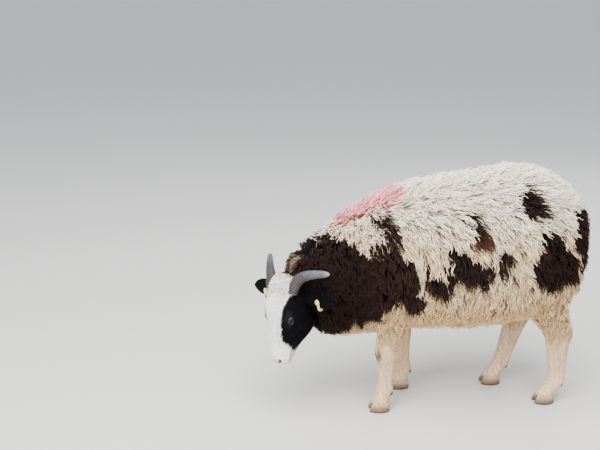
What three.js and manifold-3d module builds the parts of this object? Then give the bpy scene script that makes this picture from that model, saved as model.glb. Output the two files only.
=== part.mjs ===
// A Jacob sheep, a two-horned ewe in an autumn fleece, standing with its head lowered and turned a
// little to its left. Millimetres, +Z up, the floor at z = 0, the head towards -X and the animal's
// left side towards -Y. The fleece is modelled out to the tips of its clumps.
import * as THREE from "three";
import { mergeVertices } from "three/addons/utils/BufferGeometryUtils.js";
import Module from "manifold-3d";

const wasm = await Module();
wasm.setup();

// Driving dimensions
const GAP = 0.3; // left between pieces that touch
const CLUMP_RISE = 21; // how far the clumps of wool stand out of their core
const CLUMP_SIZE = 104; // on the trunk and neck
const LEG_CLUMP_SIZE = 58;
const TAIL_CLUMP_SIZE = 44;
const CLUMP_SEED = 41;
const LEFT = -1; // the sign of y on the animal's left side
const RIGHT = 1;

const KNEE_HEIGHT = 192; // where the fleece of a foreleg ends
const HOCK_HEIGHT = 196;
const CORONET_HEIGHT = 25;
const CLAW_LENGTH = 56;
const CLAW_WIDTH = 23;
const CLAW_SPLIT = 2.4;

const NECK_CUT = -300; // x where the neck meets the shoulders
const BARREL_FRONT = -130;
const BARREL_BACK = 112;

const TORSO_POWER = 2.15; // 2 is a true oval, and more is squarer
const HEAD_POWER = 2.25;

// Body stations: fleece outline at x, by the height of its top and bottom and its half width
const TORSO = [
  { x: -352, top: 560, bottom: 256, half: 84 },
  { x: -318, top: 602, bottom: 232, half: 118 },
  { x: -230, top: 636, bottom: 226, half: 146 },
  { x: -130, top: 654, bottom: 225, half: 162 },
  { x: -20, top: 669, bottom: 222, half: 171 },
  { x: 90, top: 683, bottom: 232, half: 174 },
  { x: 170, top: 672, bottom: 256, half: 166 },
  { x: 236, top: 632, bottom: 280, half: 142 },
  { x: 270, top: 600, bottom: 304, half: 110 },
  { x: 291, top: 560, bottom: 340, half: 76 },
  { x: 301, top: 506, bottom: 384, half: 40 },
];

// Neck stations: centre, droop of the neck's line and its turn to the left in degrees, then the half
// height and half width
const NECK = [
  { x: -262, y: 0, z: 425, droop: 0, turn: 0, high: 195, half: 128 },
  { x: -345, y: 2, z: 401, droop: 8, turn: 5, high: 179, half: 118 },
  { x: -412, y: 3, z: 364, droop: 12, turn: 13, high: 150, half: 104 },
  { x: -460, y: 0, z: 347, droop: 17, turn: 20, high: 133, half: 92 },
  { x: -487, y: -6, z: 336, droop: 20, turn: 25, high: 114, half: 78 },
  { x: -501, y: -13, z: 328, droop: 22, turn: 28, high: 84, half: 58 },
];

// Tail stations: centre, half depth along x and half width along y
const TAIL = [
  { x: 266, y: 0, z: 598, deep: 14, wide: 20 },
  { x: 287, y: -2, z: 556, deep: 18, wide: 28 },
  { x: 299, y: -4, z: 502, deep: 20, wide: 31 },
  { x: 298, y: -7, z: 436, deep: 18, wide: 29 },
  { x: 295, y: -9, z: 370, deep: 15, wide: 23 },
  { x: 294, y: -10, z: 318, deep: 9, wide: 13 },
];

// Legs: each joint's x and distance from the middle line
const LEGS = {
  left_fore: {
    side: LEFT,
    fore: true,
    top: [-245, 64],
    joint: [-263, 72],
    fetlock: [-267, 70],
    foot: [-279, 70],
  },
  right_fore: {
    side: RIGHT,
    fore: true,
    top: [-240, 64],
    joint: [-192, 68],
    fetlock: [-184, 66],
    foot: [-194, 66],
  },
  left_hind: {
    side: LEFT,
    fore: false,
    top: [184, 72],
    joint: [226, 74],
    fetlock: [232, 70],
    foot: [200, 70],
  },
  right_hind: {
    side: RIGHT,
    fore: false,
    top: [174, 72],
    joint: [153, 72],
    fetlock: [112, 66],
    foot: [84, 66],
  },
};
const FORE_SECTIONS = [
  { z: 388, deep: 40, wide: 28 },
  { z: 318, deep: 56, wide: 40 },
  { z: 276, deep: 52, wide: 38 },
  { z: 232, deep: 40, wide: 31 },
  { z: 196, deep: 31, wide: 26 },
  { z: 168, deep: 29, wide: 25 },
  { z: 134, deep: 23, wide: 20 },
  { z: 92, deep: 20, wide: 19 },
  { z: 62, deep: 24, wide: 22 },
  { z: 42, deep: 23, wide: 22 },
  { z: 22, deep: 26, wide: 24 },
];
const HIND_SECTIONS = [
  { z: 430, deep: 64, wide: 34 },
  { z: 360, deep: 82, wide: 50 },
  { z: 306, deep: 70, wide: 46 },
  { z: 262, deep: 58, wide: 39 },
  { z: 226, deep: 45, wide: 31 },
  { z: 196, deep: 34, wide: 26 },
  { z: 168, deep: 32, wide: 24 },
  { z: 128, deep: 28, wide: 21 },
  { z: 92, deep: 25, wide: 20 },
  { z: 64, deep: 26, wide: 23 },
  { z: 42, deep: 25, wide: 23 },
  { z: 22, deep: 27, wide: 24 },
];

// Head pose: where the poll is, and how the face is turned
const POLL = new THREE.Vector3(-564.5, -51, 375);
const FACE_HEADING = 34; // degrees from straight ahead towards the left
const FACE_TILT = 17; // degrees that the nose reaches ahead of the poll
const FACE_ROLL = 7;

// Head stations down the face from the poll: height of the face line and of the jaw line, half width
const HEAD = [
  { f: -40, top: -30, jaw: -78, half: 34, egg: 0.1 },
  { f: -20, top: -6, jaw: -104, half: 48, egg: 0.16 },
  { f: 12, top: 5, jaw: -124, half: 53, egg: 0.2 },
  { f: 46, top: 9, jaw: -136, half: 53, egg: 0.24 },
  { f: 80, top: 5, jaw: -143, half: 49, egg: 0.26 },
  { f: 110, top: -3, jaw: -139, half: 41, egg: 0.22 },
  { f: 140, top: -11, jaw: -114, half: 33, egg: 0.14 },
  { f: 168, top: -18, jaw: -91, half: 28, egg: 0.06 },
  { f: 190, top: -24, jaw: -82, half: 26, egg: 0.04 },
  { f: 203, top: -32, jaw: -72, half: 22, egg: 0.0 },
  { f: 211, top: -42, jaw: -63, half: 15, egg: 0.0 },
];
const EYE = { f: 84, l: 42, u: -25, radius: 12.5, lidRadius: 15.6, long: 12, open: 6.8 };
const EYE_LOOK = [0.12, 0.84, 0.5]; // the way that the left eye faces
const EYE_LONG = new THREE.Vector3(0.96, 0, -0.27); // from corner to corner
const MOUTH = { back: 158, front: 226, rise: -58, slope: 3, thick: 1.6, deep: 5 };
const NOSTRIL = { f: 203, l: 13, u: -38, long: 8, wide: 3.2, deep: 7 };

// Horns: control points in the face frame (down the face, away from its middle, out of the face)
const HORN_PATHS = {
  left: [[10, 44, -18], [-35.5, 53.6, -12], [-45.6, 70.4, -20.4], [-54.8, 127.7, -63]],
  right: [[5, 41, -20], [-41, 51.3, -6.8], [-53, 73.1, -22.6], [-78, 127.7, -67]],
};
const HORN_BASE = { along: 18.5, across: 14 }; // half sizes of the oval base
const HORN_RINGS = 18;
const HORN_RIDGES = 9;

// Ear: root and tip in the face frame, greatest half width, thickness, depth of its cup and droop
const EAR = { root: [8, 36, -52], tip: [18.4, 170, -56.5], half: 24, thick: 4.2, cup: 12, droop: 7 };
const TAG = { along: 0.5, wide: 11, tall: 26, thick: 1.7 };

// Small tools
const vec = (x, y, z) => new THREE.Vector3(x, y, z);
const radians = THREE.MathUtils.degToRad;

function seeded(seed) {
  let state = seed;
  return () => {
    state = (Math.imul(state, 1664525) + 1013904223) >>> 0;
    return state / 4294967296;
  };
}

// Every number of a list of stations, run smoothly through them all at t from 0 to 1.
function between(stations, t) {
  const place = t * (stations.length - 1);
  const i = Math.min(Math.floor(place), stations.length - 2);
  const k = place - i;
  const at = (n) => stations[Math.min(Math.max(n, 0), stations.length - 1)];
  const made = {};
  for (const key of Object.keys(stations[0])) {
    const [a, b, c, d] = [at(i - 1)[key], at(i)[key], at(i + 1)[key], at(i + 2)[key]];
    const bend = (2 * a - 5 * b + 4 * c - d) * k ** 2 + (3 * b - a - 3 * c + d) * k ** 3;
    made[key] = 0.5 * (2 * b + (c - a) * k + bend);
  }
  return made;
}

// One point of an oval section: half width a along side, half height b along up, fuller above by egg.
function ovalPoint({ centre, side, up, a, b, egg = 0, power = 2 }, angle) {
  const c = Math.cos(angle);
  const s = Math.sin(angle);
  const across = a * Math.sign(s) * Math.abs(s) ** (2 / power) * (1 + egg * c);
  const high = b * Math.sign(c) * Math.abs(c) ** (2 / power);
  return centre.clone().addScaledVector(side, across).addScaledVector(up, high);
}

// A closed skin over rings of points, each end drawn to the middle of its ring.
function loft(rings) {
  const sides = rings[0].length;
  const points = rings.flat();
  const middle = (ring) => ring.reduce((sum, p) => sum.add(p), vec(0, 0, 0)).divideScalar(sides);
  points.push(middle(rings[0]), middle(rings[rings.length - 1]));
  const first = points.length - 2;
  const last = points.length - 1;
  const index = [];
  for (let j = 0; j < sides; j++) {
    const next = (j + 1) % sides;
    index.push(first, next, j);
    for (let i = 0; i + 1 < rings.length; i++) {
      const low = i * sides;
      const high = low + sides;
      index.push(low + j, low + next, high + j, low + next, high + next, high + j);
    }
    const end = (rings.length - 1) * sides;
    index.push(last, end + j, end + next);
  }
  return new THREE.BufferGeometry().setFromPoints(points).setIndex(index);
}

// Six times the volume inside a closed surface, below nought if its faces are turned inwards.
function volumeOf(points, triangles) {
  let sum = 0;
  for (let i = 0; i < triangles.length; i += 3) {
    const [a, b, c] = [0, 1, 2].map((k) => new THREE.Vector3().fromBufferAttribute(points, triangles[i + k]));
    sum += a.dot(b.cross(c));
  }
  return sum;
}

// A closed geometry as a solid that can be joined and cut, and back.
function solid(geometry) {
  const flat = geometry.index ? geometry.toNonIndexed() : geometry;
  const bare = new THREE.BufferGeometry().setAttribute("position", flat.getAttribute("position"));
  const merged = mergeVertices(bare, 1e-4);
  const points = merged.getAttribute("position");
  const triangles = new Uint32Array(merged.index.array);
  if (volumeOf(points, triangles) < 0) triangles.reverse();
  return new wasm.Manifold(
    new wasm.Mesh({ numProp: 3, vertProperties: points.array, triVerts: triangles }),
  );
}

function geometryOf(body) {
  const mesh = body.getMesh();
  return new THREE.BufferGeometry()
    .setAttribute("position", new THREE.BufferAttribute(mesh.vertProperties, 3))
    .setIndex(new THREE.BufferAttribute(mesh.triVerts, 1));
}

// The same body a gap larger all round, to clear the room that it takes in its neighbours: each
// corner moves out far enough for every face that meets there.
function grown(body) {
  const geometry = geometryOf(body);
  const points = geometry.getAttribute("position");
  const corners = geometry.index.array;
  const faces = Array.from({ length: points.count }, () => []);
  for (let i = 0; i < corners.length; i += 3) {
    const [a, b, c] = [0, 1, 2].map((k) => vec(0, 0, 0).fromBufferAttribute(points, corners[i + k]));
    const normal = b.clone().sub(a).cross(c.clone().sub(a)).normalize();
    if (normal.lengthSq() === 0) continue;
    [[a, b, c], [b, c, a], [c, a, b]].forEach(([p, q, r], k) => {
      const angle = q.clone().sub(p).angleTo(r.clone().sub(p));
      faces[corners[i + k]].push({ normal, angle });
    });
  }
  faces.forEach((around, i) => {
    const out = vec(0, 0, 0);
    around.forEach(({ normal, angle }) => out.addScaledVector(normal, angle));
    out.normalize();
    const least = Math.min(1, ...around.map(({ normal }) => normal.dot(out)));
    out.multiplyScalar((0.8 * GAP) / Math.max(0.25, least));
    points.setXYZ(i, points.getX(i) + out.x, points.getY(i) + out.y, points.getZ(i) + out.z);
  });
  return solid(geometry);
}

function joined(bodies) {
  return bodies.reduce((sum, body) => sum.add(body));
}

// A cut can leave loose scraps: only the largest closed surface is kept.
function largest(body) {
  return body.decompose().reduce((a, b) => (b.volume() > a.volume() ? b : a));
}

function box(low, high) {
  const size = vec(...high).sub(vec(...low));
  const middle = vec(...high).add(vec(...low)).divideScalar(2);
  return new THREE.BoxGeometry(size.x, size.y, size.z).translate(middle.x, middle.y, middle.z);
}

// The body's lofts. Each gives the section at t, drawn in by the inset.
function torsoSection(t, inset) {
  const s = between(TORSO, t);
  const centre = vec(s.x, 0, (s.top + s.bottom) / 2);
  const b = (s.top - s.bottom) / 2 - inset;
  return { centre, side: vec(0, 1, 0), up: vec(0, 0, 1), a: s.half - inset, b, power: TORSO_POWER };
}

function neckSection(t, inset) {
  const s = between(NECK, t);
  const droop = radians(s.droop);
  const turn = radians(s.turn);
  const side = vec(-Math.sin(turn), Math.cos(turn), 0);
  const lean = -Math.sin(droop);
  const up = vec(lean * Math.cos(turn), lean * Math.sin(turn), Math.cos(droop));
  return { centre: vec(s.x, s.y, s.z), side, up, a: s.half - inset, b: s.high - inset };
}

function tailSection(t, inset) {
  const s = between(TAIL, t);
  const centre = vec(s.x, s.y, s.z);
  return { centre, side: vec(0, 1, 0), up: vec(1, 0, 0), a: s.wide - inset, b: s.deep - inset };
}

// A leg's middle line runs through its joints, and its sections lie level.
function legSection(leg, t, inset) {
  const s = between(leg.fore ? FORE_SECTIONS : HIND_SECTIONS, t);
  const jointHeight = leg.fore ? KNEE_HEIGHT - 24 : HOCK_HEIGHT;
  const line = [
    [430, leg.top],
    [leg.fore ? 300 : 296, leg.top],
    [jointHeight, leg.joint],
    [64, leg.fetlock],
    [CORONET_HEIGHT, leg.foot],
    [0, leg.foot],
  ];
  const i = Math.max(0, line.findIndex(([z]) => z <= s.z) - 1);
  const [[z0, p0], [z1, p1]] = [line[i], line[i + 1]];
  const raw = THREE.MathUtils.clamp((z0 - s.z) / (z0 - z1), 0, 1);
  const k = i === 1 ? raw * raw * (3 - 2 * raw) : raw;
  const x = p0[0] + (p1[0] - p0[0]) * k;
  const y = leg.side * (p0[1] + (p1[1] - p0[1]) * k);
  const centre = vec(x, y, s.z);
  return { centre, side: vec(0, 1, 0), up: vec(1, 0, 0), a: s.wide - inset, b: s.deep - inset };
}

function ringsOf(section, from, to, count, sides, inset) {
  const rings = [];
  for (let i = 0; i <= count; i++) {
    const t = from + ((to - from) * i) / count;
    const oval = section(t, inset);
    rings.push(Array.from({ length: sides }, (_, j) => ovalPoint(oval, (2 * Math.PI * j) / sides)));
  }
  return rings;
}

// A rounded clump of wool, rooted at a point of the core and lying along the coat: its rings are at
// these shares of its length, with their share of its full width
const CLUMP_PROFILE = [
  [-0.2, 0.94],
  [0.22, 0.9],
];
const CLUMP_ENDS = [-0.54, 0.56];
const CLUMP_SIDES = 6;
function clump({ point, normal, lie, long, wide, rise }) {
  const across = vec(0, 0, 0).crossVectors(normal, lie);
  const at = (k, lift) => point.clone().addScaledVector(lie, k * long).addScaledVector(normal, lift);
  const rings = CLUMP_PROFILE.map(([k, full]) => {
    return Array.from({ length: CLUMP_SIDES }, (_, j) => {
      const angle = (Math.PI * (2 * j + 1)) / CLUMP_SIDES;
      return at(k, 0)
        .addScaledVector(across, (wide / 2) * full * Math.cos(angle))
        .addScaledVector(normal, rise * 1.12 * full * Math.sin(angle));
    });
  });
  const made = loft(rings);
  const points = made.getAttribute("position");
  points.setXYZ(points.count - 2, ...at(CLUMP_ENDS[0], 0).toArray());
  points.setXYZ(points.count - 1, ...at(CLUMP_ENDS[1], 0.35 * rise).toArray());
  return solid(made);
}

// Where the rows of clumps lie along a loft, a clump's size apart over its side.
function rowsAlong(section, from, to, size) {
  const steps = 120;
  const rows = [];
  let run = 0.5 * size;
  let last = null;
  for (let i = 0; i <= steps; i++) {
    const t = from + ((to - from) * i) / steps;
    const here = ovalPoint(section(t, 0), Math.PI / 2);
    run += last ? here.distanceTo(last) : 0;
    last = here;
    if (run < size) continue;
    rows.push(t);
    run -= size;
  }
  return rows;
}

// Clumps in staggered rows over a loft's core, each along the coat's lie, none crowding one already set.
function clumpsOn(section, { from, to, size, drift, keep = () => true, set = [] }) {
  const random = seeded(CLUMP_SEED);
  const made = [];
  rowsAlong(section, from, to, size).forEach((t, i) => {
    const oval = section(t, CLUMP_RISE);
    const girth = 2 * Math.PI * Math.sqrt((oval.a ** 2 + oval.b ** 2) / 2);
    const count = Math.max(4, Math.round(girth / size));
    for (let j = 0; j < count; j++) {
      const wander = [random() - 0.5, random() - 0.5, random(), random()];
      const angle = (2 * Math.PI * (j + 0.5 * (i % 2) + 0.24 * wander[0])) / count;
      const place = THREE.MathUtils.clamp(t + 0.03 * wander[1], 0.01, 0.99);
      const here = ovalPoint(section(place, CLUMP_RISE), angle);
      const turned = ovalPoint(section(place, CLUMP_RISE), angle + 0.02).sub(here);
      const moved = ovalPoint(section(place + 0.005, CLUMP_RISE), angle).sub(here);
      const normal = vec(0, 0, 0).crossVectors(turned, moved).normalize();
      if (normal.dot(here.clone().sub(section(place, CLUMP_RISE).centre)) < 0) normal.negate();
      const lie = drift.clone().addScaledVector(normal, -drift.dot(normal)).normalize();
      if (!keep(here, normal) || set.some((other) => other.distanceTo(here) < 0.72 * size)) continue;
      set.push(here);
      made.push(
        clump({
          point: here,
          normal,
          lie,
          long: (1.14 + 0.22 * wander[2]) * size,
          wide: (0.94 + 0.14 * wander[3]) * size,
          rise: CLUMP_RISE * Math.min(1, 0.35 + (0.65 * size) / CLUMP_SIZE),
        }),
      );
    }
  });
  return made;
}

// Trunk and neck in one fleece, parted afterwards
const clearOfTail = (p) => p.x < 240 || Math.abs(p.y) > 52 || p.z < 280;
const set = [];
const trunk = joined([
  solid(loft(ringsOf(torsoSection, 0, 1, 13, 18, CLUMP_RISE))),
  solid(loft(ringsOf(neckSection, 0, 1, 8, 18, CLUMP_RISE))),
  ...clumpsOn(torsoSection, {
    from: 0.1,
    to: 0.93,
    size: CLUMP_SIZE,
    drift: vec(0.5, 0, -1),
    keep: clearOfTail,
    set,
  }),
  ...clumpsOn(neckSection, { from: 0.06, to: 0.97, size: CLUMP_SIZE, drift: vec(0.7, 0, -1), set }),
]);

// Legs: the fleeced upper leg, the short-haired lower leg, and two claws
function upperLeg(leg) {
  const section = (t, inset) => legSection(leg, t, inset);
  const stations = leg.fore ? FORE_SECTIONS : HIND_SECTIONS;
  const end = (leg.fore ? 4.3 : 5) / (stations.length - 1);
  const inset = (t) => Math.max(0, CLUMP_RISE * 0.45 * (1 - (t / end) ** 4));
  const rings = [];
  for (let i = 0; i <= 7; i++) {
    const t = (end * 1.25 * i) / 7;
    const oval = section(t, inset(t));
    rings.push(Array.from({ length: 14 }, (_, j) => ovalPoint(oval, (2 * Math.PI * j) / 14)));
  }
  const cutHeight = leg.fore ? KNEE_HEIGHT : HOCK_HEIGHT;
  const above = solid(box([-900, -900, cutHeight + GAP / 2], [900, 900, 900]));
  const low = leg.fore ? 250 : 262;
  const clumps = clumpsOn(section, {
    from: leg.fore ? 0.1 : 0.14,
    to: leg.fore ? 0.36 : 0.42,
    size: LEG_CLUMP_SIZE,
    drift: vec(0, 0, -1),
    keep: (p) => p.z > low && p.z < 340,
  });
  return largest(joined([solid(loft(rings)), ...clumps]).intersect(above));
}

function lowerLeg(leg) {
  const stations = leg.fore ? FORE_SECTIONS : HIND_SECTIONS;
  const start = (leg.fore ? 3.6 : 4.4) / (stations.length - 1);
  const shaft = solid(loft(ringsOf((t, inset) => legSection(leg, t, inset), start, 1, 9, 12, 0)));
  const cutHeight = leg.fore ? KNEE_HEIGHT : HOCK_HEIGHT;
  const low = [-900, -900, CORONET_HEIGHT + GAP / 2];
  const shin = solid(box(low, [900, 900, cutHeight - GAP / 2]));
  const [x, y] = leg.fetlock;
  const dewclaws = [-1, 1].map((side) =>
    solid(
      new THREE.SphereGeometry(6, 6, 4)
        .scale(1, 0.9, 1.4)
        .translate(x + 23, leg.side * y + side * 9, 52),
    ),
  );
  return largest(joined([shaft, ...dewclaws]).intersect(shin));
}

// One claw of a hoof: flat sole, pointed toe, upright heel, drawn in towards the coronet.
const CLAW_LEVELS = [
  { z: 0, long: 1, wide: 0.94, back: 0 },
  { z: 7, long: 1, wide: 1, back: 0 },
  { z: 16, long: 0.93, wide: 0.99, back: 1.6 },
  { z: CORONET_HEIGHT - GAP / 2, long: 0.84, wide: 0.95, back: 3.4 },
];
function claw(leg, which) {
  const [x, y] = leg.foot;
  const rings = CLAW_LEVELS.map(({ z, long, wide, back }) => {
    return Array.from({ length: 12 }, (_, j) => {
      const angle = (2 * Math.PI * j) / 12;
      const along = Math.cos(angle);
      const toe = along < 0 ? 1 - 0.35 * along * along : 1;
      const px = x - 2 + back + (CLAW_LENGTH / 2) * long * along;
      const py = leg.side * y + which * (CLAW_SPLIT / 2 + CLAW_WIDTH / 2);
      return vec(px, py + (CLAW_WIDTH / 2) * wide * toe * Math.sin(angle), z);
    });
  });
  return solid(loft(rings));
}

// Head, in the face frame: x down the face from the poll, y to the animal's left, z out of the face
const HEAD_SIDES = 20;
const BUMPS = [
  { at: [82, 46, -24], size: 22, push: 4 }, // orbit
  { at: [62, 38, -4], size: 17, push: 2.5 }, // brow
  { at: [112, 34, -66], size: 22, push: 3 }, // cheek
  { at: [196, 17, -40], size: 12, push: 2.5 }, // wing of the nostril
  { at: [199, 10, -70], size: 10, push: 2 }, // lower lip
];
function headSection(t, inset) {
  const s = between(HEAD, t);
  const centre = vec(s.f, 0, (s.top + s.jaw) / 2);
  const [a, b] = [s.half - inset, (s.top - s.jaw) / 2 - inset];
  return { centre, side: vec(0, 1, 0), up: vec(0, 0, 1), a, b, egg: s.egg, power: HEAD_POWER };
}
function headRings(inset, from, count, sides) {
  return ringsOf(headSection, from, 1, count, sides, inset).map((ring) =>
    ring.map((p) => {
      const out = p.clone().sub(vec(p.x, 0, -50)).normalize();
      for (const { at, size, push } of BUMPS) {
        const near = vec(p.x - at[0], Math.abs(p.y) - at[1], p.z - at[2]).length() / size;
        p.addScaledVector(out, push * Math.exp(-near * near));
      }
      return p;
    }),
  );
}
const skull = solid(loft(headRings(0, 0, 19, HEAD_SIDES)));

const eyeBall = (side, radius) =>
  new THREE.SphereGeometry(radius, 12, 8).translate(EYE.f, side * EYE.l, EYE.u);

// The opening between the lids: an almond cut from the eye's middle outwards.
function lidOpening(side) {
  const almond = new THREE.Shape();
  almond.moveTo(-EYE.long, 0);
  almond.quadraticCurveTo(0, 2 * EYE.open, EYE.long, 0);
  almond.quadraticCurveTo(0, -1.5 * EYE.open, -EYE.long, 0);
  const prism = new THREE.ExtrudeGeometry(almond, { depth: 30, bevelEnabled: false, curveSegments: 6 });
  const out = vec(EYE_LOOK[0], side * EYE_LOOK[1], EYE_LOOK[2]).normalize();
  const long = EYE_LONG.clone().addScaledVector(out, -out.dot(EYE_LONG)).normalize();
  const high = vec(0, 0, 0).crossVectors(out, long).multiplyScalar(side);
  const turn = new THREE.Matrix4().makeBasis(long, high, out);
  prism.applyMatrix4(turn.setPosition(EYE.f, side * EYE.l, EYE.u));
  return solid(prism);
}

const mouthPlane = box([MOUTH.back, -60, -MOUTH.thick / 2], [MOUTH.front, 60, MOUTH.thick / 2])
  .rotateY(radians(MOUTH.slope))
  .translate(0, 0, MOUTH.rise + MOUTH.back * Math.tan(radians(MOUTH.slope)));
const mouthGroove = solid(mouthPlane).subtract(solid(loft(headRings(MOUTH.deep, 0.55, 6, 12))));
const nostril = (side) =>
  solid(
    new THREE.SphereGeometry(1, 10, 8)
      .scale(NOSTRIL.long, NOSTRIL.wide, NOSTRIL.deep)
      .rotateZ(side * radians(-28))
      .translate(NOSTRIL.f, side * NOSTRIL.l, NOSTRIL.u),
  );
const lidded = joined([skull, ...[LEFT, RIGHT].map((s) => solid(eyeBall(s, EYE.lidRadius)))]);
const headRoom = grown(lidded);
const head = largest(
  lidded
    .subtract(mouthGroove)
    .subtract(nostril(1))
    .subtract(nostril(-1))
    .subtract(lidOpening(1))
    .subtract(lidOpening(-1))
    .subtract(solid(eyeBall(1, EYE.radius + GAP)))
    .subtract(solid(eyeBall(-1, EYE.radius + GAP))),
);

// Horn: an oval tapering tube along its curve, ringed with growth ridges, its root trimmed to the skull
function horn(name, side) {
  const points = HORN_PATHS[name].map(([f, l, u]) => vec(f, side * l, u));
  const path = new THREE.CubicBezierCurve3(...points);
  const rings = [];
  for (let i = 0; i <= HORN_RINGS; i++) {
    const t = i / HORN_RINGS;
    const centre = path.getPoint(t);
    const along = path.getTangent(t);
    const wide = vec(1, 0, 0).addScaledVector(along, -along.x).normalize();
    const across = vec(0, 0, 0).crossVectors(along, wide);
    const taper = (1 - 0.42 * t - 0.14 * t ** 4) * Math.sqrt(1 - Math.max(0, (t - 0.9) / 0.101) ** 2);
    const ridge = 1 + 0.045 * (1 - t) * Math.cos(2 * Math.PI * HORN_RIDGES * t);
    rings.push(
      Array.from({ length: 8 }, (_, j) => {
        const angle = (2 * Math.PI * j) / 8;
        return centre
          .clone()
          .addScaledVector(wide, Math.max(1.6, HORN_BASE.along * taper * ridge) * Math.cos(angle))
          .addScaledVector(across, Math.max(1.6, HORN_BASE.across * taper * ridge) * Math.sin(angle));
      }),
    );
  }
  return solid(loft(rings));
}

// Ear: a leaf with a rolled root and a cup that faces forwards
function earFrame(side) {
  const root = vec(EAR.root[0], side * EAR.root[1], EAR.root[2]);
  const along = vec(EAR.tip[0], side * EAR.tip[1], EAR.tip[2]).sub(root);
  const length = along.length();
  along.normalize();
  const open = vec(0.25, 0, 1).addScaledVector(along, -0.25 * along.x - along.z).normalize();
  const across = vec(0, 0, 0).crossVectors(open, along);
  return { root, along, length, open, across };
}
function earHalf(t) {
  const leaf = 0.3 + 0.7 * Math.sin(Math.PI * Math.min(1, 0.14 + 0.62 * t));
  return EAR.half * leaf * (1 - t ** 5) ** 0.6;
}
function earRing(side, t) {
  const { root, along, length, open, across } = earFrame(side);
  const half = Math.max(2.2, earHalf(t));
  const cup = EAR.cup * (1 - 0.75 * t) * (half / EAR.half);
  const thick = EAR.thick * (1 - 0.45 * t);
  const centre = root.clone().addScaledVector(along, t * length).addScaledVector(open, -EAR.droop * t * t);
  const steps = 6;
  const front = [];
  const back = [];
  for (let j = 0; j <= steps; j++) {
    const k = -1 + (2 * j) / steps;
    const lift = cup * (k * k - 0.5);
    const edge = Math.sqrt(Math.max(0, 1 - k * k)) * (thick / 2) + 0.6;
    const at = centre.clone().addScaledVector(across, k * half);
    front.push(at.clone().addScaledVector(open, lift + edge));
    back.push(at.clone().addScaledVector(open, lift - edge));
  }
  return [...front, ...back.reverse()];
}
function ear(side) {
  const rings = [];
  for (let i = 0; i <= 8; i++) rings.push(earRing(side, 0.995 * (i / 8)));
  return solid(loft(rings));
}

// Ear tag: a strap folded round the ear's lower edge
function earTag(side) {
  const { root, along, length, open, across } = earFrame(side);
  const t = TAG.along;
  const half = earHalf(t);
  const lower = across.x > 0 ? 1 : -1;
  const cup = EAR.cup * (1 - 0.75 * t) * (half / EAR.half);
  const clear = EAR.thick / 2 + 1.4 + GAP;
  const shape = new THREE.Shape();
  const outer = clear + TAG.thick;
  shape.moveTo(0, -outer);
  shape.lineTo(TAG.tall, -outer);
  shape.absarc(TAG.tall, 0, outer, -Math.PI / 2, Math.PI / 2, false);
  shape.lineTo(0, outer);
  shape.lineTo(0, clear);
  shape.lineTo(TAG.tall, clear);
  shape.absarc(TAG.tall, 0, clear, Math.PI / 2, -Math.PI / 2, true);
  shape.lineTo(0, -clear);
  const strap = new THREE.ExtrudeGeometry(shape, { depth: TAG.wide, bevelEnabled: false, curveSegments: 4 });
  strap.translate(-TAG.tall + 6, 0, -TAG.wide / 2);
  const down = across.clone().multiplyScalar(lower);
  const frame = new THREE.Matrix4().makeBasis(down, open, vec(0, 0, 0).crossVectors(down, open));
  const centre = root
    .clone()
    .addScaledVector(along, t * length)
    .addScaledVector(open, -EAR.droop * t * t + cup * 0.28)
    .addScaledVector(down, half);
  return solid(strap.applyMatrix4(frame.setPosition(centre)));
}

// The face frame in the body's frame
const heading = radians(FACE_HEADING);
const tilt = radians(FACE_TILT);
const ahead = vec(-Math.cos(heading), -Math.sin(heading), 0);
const faceDown = vec(0, 0, -Math.cos(tilt)).addScaledVector(ahead, Math.sin(tilt));
const faceOut = vec(0, 0, Math.sin(tilt)).addScaledVector(ahead, Math.cos(tilt));
faceDown.applyAxisAngle(faceOut, radians(FACE_ROLL));
const faceLeft = vec(0, 0, 0).crossVectors(faceOut, faceDown);
const faceFrame = new THREE.Matrix4().makeBasis(faceDown, faceLeft, faceOut).setPosition(POLL);
const inBody = (body) => solid(geometryOf(body).applyMatrix4(faceFrame));

// Tail, hung against the rump
function tailSolid() {
  const thinner = (t, inset) => tailSection(t, inset * 0.4);
  const core = solid(loft(ringsOf(thinner, 0, 1, 10, 12, CLUMP_RISE)));
  const locks = clumpsOn(thinner, {
    from: 0.3,
    to: 0.98,
    size: TAIL_CLUMP_SIZE,
    drift: vec(0, 0, -1),
    keep: (p, n) => n.x > -0.2,
  });
  return largest(joined([core, ...locks]));
}

// The trunk is cleared for the legs, the head and the tail, and parted by upright cuts
const uppers = Object.fromEntries(Object.entries(LEGS).map(([name, leg]) => [name, upperLeg(leg)]));
const tail = tailSolid();
const sides = [["left", RIGHT], ["right", LEFT]];
const horns = sides.map(([name, side]) => horn(name, side));
const ears = sides.map(([, side]) => ear(side));
const tags = sides.map(([, side]) => earTag(side));
const thick = [...Object.values(uppers), tail, inBody(lidded)];
const thin = [...horns, ...ears, ...tags].map(inBody);
const cleared = [...thick, ...thin].reduce(
  (rest, body) => rest.subtract(grown(body)).subtract(grown(grown(body))),
  trunk,
);
const slice = (from, to) =>
  largest(cleared.intersect(solid(box([from + GAP / 2, -900, -10], [to - GAP / 2, 900, 1200]))));

// Colours and surfaces
const paint = (color, roughness) => new THREE.MeshStandardMaterial({ color, roughness, metalness: 0 });
const FLEECE_WHITE = paint(0xd9cdb9, 0.95);
const FLEECE_BROWN = paint(0x3a2722, 0.95);
const HAIR_TAN = paint(0xcdb393, 0.9);
const FACE_HAIR = paint(0xe4e2de, 0.8);
const BLACK_HAIR = paint(0x15161c, 0.8);
const HORN_GREY = paint(0x8b8682, 0.55);
const HOOF_GREY = paint(0x3b332d, 0.6);
const EYE_AMBER = paint(0x6a4a22, 0.15);
const TAG_YELLOW = paint(0xe9dc6a, 0.4);

const sheep = new THREE.Group();
const face = new THREE.Group();
face.applyMatrix4(faceFrame);
sheep.add(face);

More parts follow.
